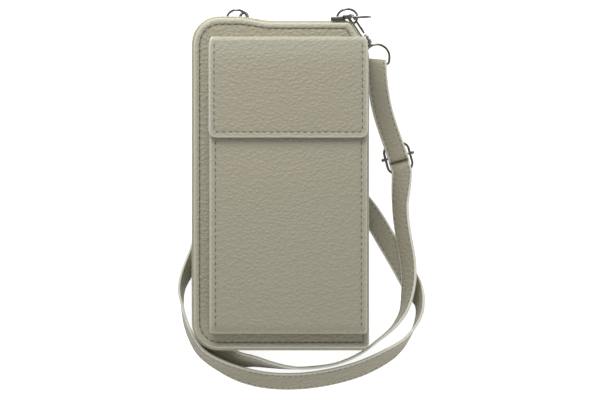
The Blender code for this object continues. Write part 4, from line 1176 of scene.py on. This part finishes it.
class WALLET_OT_hooks(bpy.types.Operator):
    """Makes the two swivel hooks, their levers and the strap's end rings"""
    bl_idname = "wallet.hooks"
    bl_label = "Hooks"

    def execute(self, context):
        arm = HOOK_ARM
        bow = [(-arm * cos(pi * i / 20), -arm + arm * sin(pi * i / 20), 0.0) for i in range(21)]
        stem = smooth_line([(arm, -0.0133, 0.0), (arm * 0.80, -0.0150, 0.0), (arm * 0.30, -0.0164, 0.0)], 4)
        wire = [(-arm, -0.0040, 0.0)] + bow + [(arm, -0.0075, 0.0), (arm, -0.0115, 0.0)] + stem + [(0.0, -0.0170, 0.0)]
        shoulder = smooth_line([
            (0.0, -0.0166, 0.0), (-arm * 0.60, -0.0158, 0.0), (-arm * 0.96, -0.0152, 0.0), (-arm, -0.01495, 0.0)], 4)
        corners = rounded([
            (SWIVEL_R, 0.0, 0.0), (SWIVEL_R, -SWIVEL_DROP, 0.002), (-SWIVEL_R, -SWIVEL_DROP, 0.002),
            (-SWIVEL_R, 0.0, 0.0)], closed=False)
        corners += [(-SWIVEL_R * cos(pi * i / 28), SWIVEL_R * sin(pi * i / 28)) for i in range(1, 28)]
        for side, place in HOOKS.items():
            def at(*points):
                return [place @ Vector(point) for point in points]
            radii = [HOOK_NOSE_R] + [HOOK_WIRE_R] * (len(wire) - 2) + [HOOK_STEM_R]
            metal_piece(
                side + "_hook_body",
                [tube(at(*wire), radii, sides=16), tube(at(*shoulder), HOOK_STEM_R), lathe(BARREL, place)],
                side + "_hook", side + "_hook")
            lever = tube(at(*((-arm, -along, 0.0) for along, _ in LEVER)), [radius for _, radius in LEVER])
            knob = bar(*at((-arm, -0.0105, 0.0), (-arm - 0.001, -0.0105, 0.0)), 0.0008)
            metal_piece(side + "_hook_lever", [lever, knob], side + "_gate", side + "_hook_gate")
            centre, near, far = at(
                (0.0, -SWIVEL_CENTRE, 0.0), (0.0, -SWIVEL_CENTRE + SWIVEL_R - 0.0002, 0.0), (0.0, -0.0179, 0.0))
            down = Vector((*STRAP_HEADINGS[side], 0.0)).normalized()
            across = Vector((-down.y, down.x, 0.0))
            ring = tube([centre + across * x - down * y for x, y in corners], WIRE_R, closed=True, sides=16)
            metal_piece(
                side + "_end_ring", [ring, bar(near, far, 0.0011, 18), lathe(COLLAR, place)], "case",
                side + "_swivel_ring")
        return {"FINISHED"}


# Buckle and slider.
BUCKLE_BAR = Vector((0.0699, 0.01752, BAR_Z))
BUCKLE_DOWN = Vector((0.26, -0.966, 0.0)).normalized()
BUCKLE_HALF = 0.0076
BALL_R = 0.0011
# The lugs that hold the puller's pin, inside and outside, and half the puller's width.
LUG_IN, LUG_OUT = 0.0028, 0.0036
BLADE_HALF = 0.0024


class WALLET_OT_buckle(bpy.types.Operator):
    """Makes the strap's slide buckle and the zip's slider and puller"""
    bl_idname = "wallet.buckle"
    bl_label = "Buckle and slider"

    def execute(self, context):
        across = Vector((-BUCKLE_DOWN.y, BUCKLE_DOWN.x, 0.0))
        outline = panel(-BUCKLE_HALF, BUCKLE_HALF, -0.0096, 0.0075, 0.0046)
        loop = [BUCKLE_BAR + across * x - BUCKLE_DOWN * y for x, y in dense(outline + outline[:1], 0.0012)[:-1]]
        reach = BUCKLE_HALF + 0.0016
        parts = [
            tube(loop, WIRE_R, closed=True, sides=16),
            bar(BUCKLE_BAR - across * reach, BUCKLE_BAR + across * reach, 0.00069, 14),
        ]
        for side in (-1, 1):
            angles = [pi * k / 8 for k in range(9)]
            centre = BUCKLE_BAR + across * (reach * side)
            parts.append(tube(
                [centre - across * (BALL_R * cos(angle)) for angle in angles],
                [max(BALL_R * sin(angle), 0.00008) for angle in angles], sides=16))
        metal_piece("buckle_frame", parts, "buckle", "strap_buckle")
        left, right = SLIDER_X
        x, y = SLIDER_PIN
        z = MIDDLE_Z
        wall_y = HALF_H + 0.0019
        foot_z = BACK_TAPE_Z[1]
        parts = [
            box_shape((left, wall_y, z - LUG_OUT), (right, wall_y + 0.002, z + LUG_OUT), 0.0005),
            box_shape((left, HALF_H + 0.0001, foot_z - 0.0008), (right, wall_y + 0.001, foot_z), 0.0002),
            bar((x, y, z - 0.0032), (x, y, z + 0.0032), 0.0006),
        ]
        for low, high in ((LUG_IN, LUG_OUT), (-LUG_OUT, -LUG_IN)):
            parts.append(box_shape((right - 0.002, y - 0.0012, z + low), (x + 0.0012, y + 0.0012, z + high), 0.00025))
        metal_piece("slider_body", parts, "slider", "zip_slider")
        low, high = z - BLADE_HALF, z + BLADE_HALF
        blade = box_shape((x + 0.0011, y - 0.0005, low), (x + 0.0134, y + 0.0005, high), 0.0003)
        section = (
            (0.00095, low), (0.0016, low), (0.0017, low + 0.0001), (0.0017, high - 0.0001), (0.0016, high),
            (0.00095, high))
        eye = loft("eye", [[(x + r * c, y + r * s, level) for r, level in section] for c, s in circle(28)], closed=True)
        rib = box_shape((x + 0.0030, y - 0.0008, low + 0.0012), (x + 0.0118, y + 0.0008, high - 0.0012), 0.0003)
        metal_piece("puller_blade", [blade, eye, rib], "pull", "zip_pull")
        return {"FINISHED"}


class WALLET_OT_snap(bpy.types.Operator):
    """Gives the flap's two magnet caps their satin plate"""
    bl_idname = "wallet.snap"
    bl_label = "Magnet snap"

    def execute(self, context):
        satin = plated("satin_nickel", (0.56, 0.55, 0.53), 0.3, 0.15)
        for name in ("snap_socket", "snap_stud"):
            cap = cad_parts[name].data
            cap.materials.clear()
            cap.materials.append(satin)
        return {"FINISHED"}


# Strap. Its route is in places of a 600 by 400 picture, each with how far the strap leans, in degrees.
PIXEL = 0.0006
PICTURE_MIDDLE = (281.5, 185.5)
DOUBLED = ((393.0, 142.0), (385.5, 120.0), (380.5, 100.0), (378.0, 82.0))
LONG_ROUTE = (
    (401.2, 190, -22), (400.5, 205, -38), (401.5, 220, -40), (404.5, 240, -40), (408, 260, -40), (409, 280, -46),
    (407, 298, -58), (403.5, 312, -72), (393, 328, -85), (377, 341.5, -90), (361, 353.5, -90), (335, 364.5, -90),
    (300, 368.5, -90), (271, 365, -105), (254, 361.5, -120), (238, 359.5, -138), (223, 353, -162),
    (210, 342.5, -161), (202.5, 329, -160), (204, 316, -160), (209, 299, -160), (219, 275, -160), (235, 240, -160),
    (258, 205, -160), (290, 180, -162), (325, 178, -166), (352, 193, -172), (372, 216, -180), (386, 239, -184),
    (400, 263, -180), (411, 283, -186), (417, 294, -218), (420, 304, -245), (419.4, 315, -256), (414.5, 327.5, -268),
    (406, 340, -282), (390, 354, -308), (363, 368, -320), (332, 377, -324), (300, 381.5, -325), (270, 381, -325),
    (245, 376, -321), (222, 366.5, -306), (200, 351.5, -292), (187, 327, -281), (182, 305, -270), (181, 291, -256),
    (184, 279, -242), (190, 266, -228), (199, 249, -206), (205, 232, -200), (212, 200, -200), (222, 152, -200),
    (232, 112, -192), (239, 88, -180),
)
# Pitch, and length, width and height of a stitch.
STRAP_PITCH = 0.0034
STRAP_STITCH = (0.0019, 0.0005, 0.0003)
# How high the strap rises at the start of its route, over itself. It lies on the floor from there on.
RISE = 0.0026
LIFTS = (RISE / 2, 0.0, RISE / 3, RISE, RISE, RISE, RISE / 3)
# The upper layer's height where the strap is doubled, and the step down behind the buckle, as shares.
LAYER_LIFT = 0.0039
HUMP_LIFT = 0.0040
HUMP_LONG = 0.0096
HUMP_SHARES = ((0.14, 0.0), (0.26, 0.02), (0.36, 0.14), (0.48, 0.4), (0.6, 0.7), (0.72, 0.94), (0.84, 1.0))


def from_picture(px, py):
    return (px - PICTURE_MIDDLE[0]) * PIXEL, (PICTURE_MIDDLE[1] - py) * PIXEL


def leaning(route):
    """Centres and width directions along a route of places, leans and lifts."""
    line = smooth_line(route, step=0.0075)
    flat = [point[:2] for point in line]
    stations = []
    for i, (x, y, lean, lift) in enumerate(line):
        travel = travel_at(flat, i)
        angle = radians(lean)
        across = Vector((travel.y, -travel.x, 0.0)) * cos(angle) + Vector((0.0, 0.0, sin(angle)))
        height = lift + STRAP_W / 2 * abs(sin(angle)) + STRAP_T / 2 * abs(cos(angle))
        stations.append((Vector((x, y, height)), across))
    return stations


def folded(place, outward, start, end):
    """The strap's turn round a bar."""
    radius = WIRE_R + 0.0003 + STRAP_T / 2
    across = outward.cross(Vector(UP))
    angles = [radians(start + (end - start) * i / 6) for i in range(7)]
    return [
        (place + outward * (radius * sin(angle)) + Vector((0.0, 0.0, radius * cos(angle))), across)
        for angle in angles]


def end_bar(side):
    down = Vector((*STRAP_HEADINGS[side], 0.0)).normalized()
    centre = HOOKS[side] @ Vector((0.0, -SWIVEL_CENTRE, 0.0)) + down * SWIVEL_DROP
    return Vector((centre.x, centre.y, BAR_Z)), down


def strap_stations():
    """From the buckle over the upper layer to the right hook, back below it, and round to the left hook."""
    def level(places, lean, lift):
        return [(place[0], place[1], lean, lift) for place in places]
    right_bar, right_down = end_bar("right")
    left_bar, left_down = end_bar("left")
    upper = [BUCKLE_BAR] + [from_picture(*place) for place in DOUBLED] + [right_bar]
    stations = folded(BUCKLE_BAR, BUCKLE_DOWN, 66.0, 8.0)
    stations += leaning(level(upper, 0.0, LAYER_LIFT))
    stations += folded(right_bar, -right_down, 12.0, 168.0)
    stations += leaning(level(upper[::-1], 0.0, 0.0))
    across = BUCKLE_DOWN.cross(Vector(UP))
    for along, rise in HUMP_SHARES:
        place = BUCKLE_BAR + BUCKLE_DOWN * (HUMP_LONG * along)
        stations.append((Vector((place.x, place.y, STRAP_T / 2 + HUMP_LIFT * rise)), across))
    route = level([BUCKLE_BAR + BUCKLE_DOWN * HUMP_LONG], 0.0, HUMP_LIFT)
    lifts = LIFTS + (0.0,) * (len(LONG_ROUTE) - len(LIFTS))
    route += [(*from_picture(px, py), lean, lift) for (px, py, lean), lift in zip(LONG_ROUTE, lifts)]
    stations += leaning(route + level([left_bar + left_down * STRAP_W, left_bar], -180.0, 0.0))
    stations += folded(left_bar, -left_down, 168.0, 12.0)
    tail = [left_bar + left_down * (0.022 * share) for share in (0.0, 0.35, 0.7, 1.0)]
    return stations + leaning(level(tail, 0.0, LAYER_LIFT))


def squared(stations):
    """Each centre with its width direction turned square to the way, all to one side, and its way."""
    centres = [centre for centre, _ in stations]
    found = []
    for i, (centre, across) in enumerate(stations):
        travel = travel_at(centres, i)
        across = (across - travel * across.dot(travel)).normalized()
        if found and across.dot(found[-1][1]) < 0:
            across = -across
        found.append((centre, across, travel))
    return found


def strap_frames(step=0.0025):
    """Centres, width and thickness directions, close together along the strap."""
    rough = [(centre, across) for centre, across, _ in squared(strap_stations())]
    fine = []
    for i in range(len(rough) - 1):
        (p1, a1), (p2, a2) = rough[i:i + 2]
        p0 = rough[i - 1][0] if i else p1 * 2 - p2
        p3 = rough[i + 2][0] if i + 2 < len(rough) else p2 * 2 - p1
        reach = (p2 - p1).length
        if reach < 0.0002:
            continue
        t1, t2 = (p2 - p0).normalized() * reach, (p3 - p1).normalized() * reach
        parts = max(1, round(reach / step))
        for t in (k / parts for k in range(parts)):
            place = (
                p1 * (2 * t ** 3 - 3 * t ** 2 + 1) + t1 * (t ** 3 - 2 * t ** 2 + t)
                + p2 * (3 * t ** 2 - 2 * t ** 3) + t2 * (t ** 3 - t ** 2))
            fine.append((place, a1.lerp(a2, t).normalized()))
    fine.append(rough[-1])
    return [(centre, across, travel.cross(across)) for centre, across, travel in squared(fine)]


class WALLET_OT_strap(bpy.types.Operator):
    """Makes the shoulder strap in one length, with painted edges and a seam along each side of each face"""
    bl_idname = "wallet.strap"
    bl_label = "Shoulder strap"

    def execute(self, context):
        frames = strap_frames()
        half_w, half_t = STRAP_W / 2 - 0.00004, STRAP_T / 2 - 0.00003
        # Half of the upper side: distance in from the edge, share of the thickness and edge paint.
        half = [
            (half_w - inset, share, rim) for inset, share, rim in (
                (0.0, 0.0, 1.0), (0.00008, 0.45, 1.0), (0.0003, 0.80, 1.0), (0.00065, 0.97, 0.85),
                (0.0011, 1.0, 0.15), (STRAP_SEAM, 0.86, 0.0), (0.0023, 1.0, 0.0), (0.0040, 1.0, 0.0),
                (half_w, 1.0, 0.0))]
        top = half + [(-a, h, r) for a, h, r in half[-2::-1]]
        section = top + [(a, -h, r) for a, h, r in top[-2:0:-1]]
        rings = [
            [centre + across * a + normal * (h * half_t) for a, h, _ in section] for centre, across, normal in frames]
        strap = loft("strap", rings, rim=[r for _, _, r in section])
        wallet_piece("strap_leather", strap, grained_leather(), "case", "leather", "shoulder_strap")
        marks = []
        for side, face in ((-1, -1), (-1, 1), (1, -1), (1, 1)):
            line = [
                centre + across * (side * (half_w - STRAP_SEAM)) + normal * (face * (half_t - 0.00012))
                for centre, across, normal in frames]
            marks += marks_along(line, STRAP_PITCH, [normal * face for _, _, normal in frames])
        stitches("strap_stitches", marks, "case", *STRAP_STITCH)
        return {"FINISHED"}


# Stage.
CAMERA_HIGH = 5.0
SENSOR_W = 36.0
PICTURE_W = 600 * PIXEL
CAMERA_AT = (-0.00075, -0.00049)
SKY_LIGHT = 0.44
FLOOR_HALF = 3
FLOOR_Z = -0.0002
# Place, size and power of each lamp.
LAMPS = {"key": ((-0.15, 0.62, 0.42), 0.4, 4.4), "fill": ((0.25, -0.85, 0.28), 0.6, 2.4)}


class WALLET_OT_stage(bpy.types.Operator):
    """Sets the pale floor, the soft lights and the camera straight above"""
    bl_idname = "wallet.stage"
    bl_label = "Stage"

    def execute(self, context):
        scene = context.scene
        scene.view_settings.view_transform = "Standard"
        corners = [(FLOOR_HALF * x, FLOOR_HALF * y, 0) for x, y in ((-1, -1), (1, -1), (1, 1), (-1, 1))]
        floor = placed("floor", new_mesh("floor", corners, [(0, 1, 2, 3)]))
        floor.location.z = FLOOR_Z
        floor.data.materials.append(white_paper())
        scene.world = bpy.data.worlds.new("studio")
        scene.world.use_nodes = True
        sky = scene.world.node_tree.nodes["Background"].inputs
        sky["Color"].default_value = (1.0, 1.0, 1.0, 1.0)
        sky["Strength"].default_value = SKY_LIGHT
        for name, (place, size, power) in LAMPS.items():
            lamp = bpy.data.lights.new(name, "AREA")
            lamp.size = size
            lamp.energy = power
            holder = placed(name, lamp)
            holder.location = place
            holder.rotation_euler = (-Vector(place)).to_track_quat("-Z", "Y").to_euler()
        lens = bpy.data.cameras.new("camera")
        lens.sensor_width = SENSOR_W
        lens.lens = SENSOR_W * CAMERA_HIGH / PICTURE_W
        lens.clip_end = 20.0
        scene.camera = placed("camera", lens)
        scene.camera.location = (*CAMERA_AT, 0.015 + CAMERA_HIGH)
        return {"FINISHED"}


class WALLET_PT_panel(bpy.types.Panel):
    """The wallet's settings and makers"""
    bl_idname = "WALLET_PT_panel"
    bl_label = "Phone wallet"
    bl_space_type = "VIEW_3D"
    bl_region_type = "UI"
    bl_category = "Wallet"

    def draw(self, context):
        for group in (context.scene.wallet_sizes, context.scene.wallet_colours):
            box = self.layout.box()
            for name in group.bl_rna.properties.keys():
                if name not in ("rna_type", "name"):
                    box.prop(group, name)
        for maker in MAKERS:
            self.layout.operator(maker.bl_idname)


MAKERS = (
    WALLET_OT_stage, WALLET_OT_case, WALLET_OT_case_stitches, WALLET_OT_inside, WALLET_OT_zip, WALLET_OT_pocket,
    WALLET_OT_flap, WALLET_OT_rings, WALLET_OT_hooks, WALLET_OT_buckle, WALLET_OT_snap, WALLET_OT_strap,
)
CLASSES = (WalletSizes, WalletColours) + MAKERS + (WALLET_PT_panel,)


def register():
    for item in CLASSES:
        bpy.utils.register_class(item)
    bpy.types.Scene.wallet_sizes = PointerProperty(type=WalletSizes)
    bpy.types.Scene.wallet_colours = PointerProperty(type=WalletColours)


def unregister():
    del bpy.types.Scene.wallet_colours
    del bpy.types.Scene.wallet_sizes
    for item in reversed(CLASSES):
        bpy.utils.unregister_class(item)


def main():
    register()
    for maker in MAKERS:
        group, name = maker.bl_idname.split(".")
        getattr(getattr(bpy.ops, group), name)()
    bpy.context.view_layer.update()


if __name__ == "__main__":
    main()
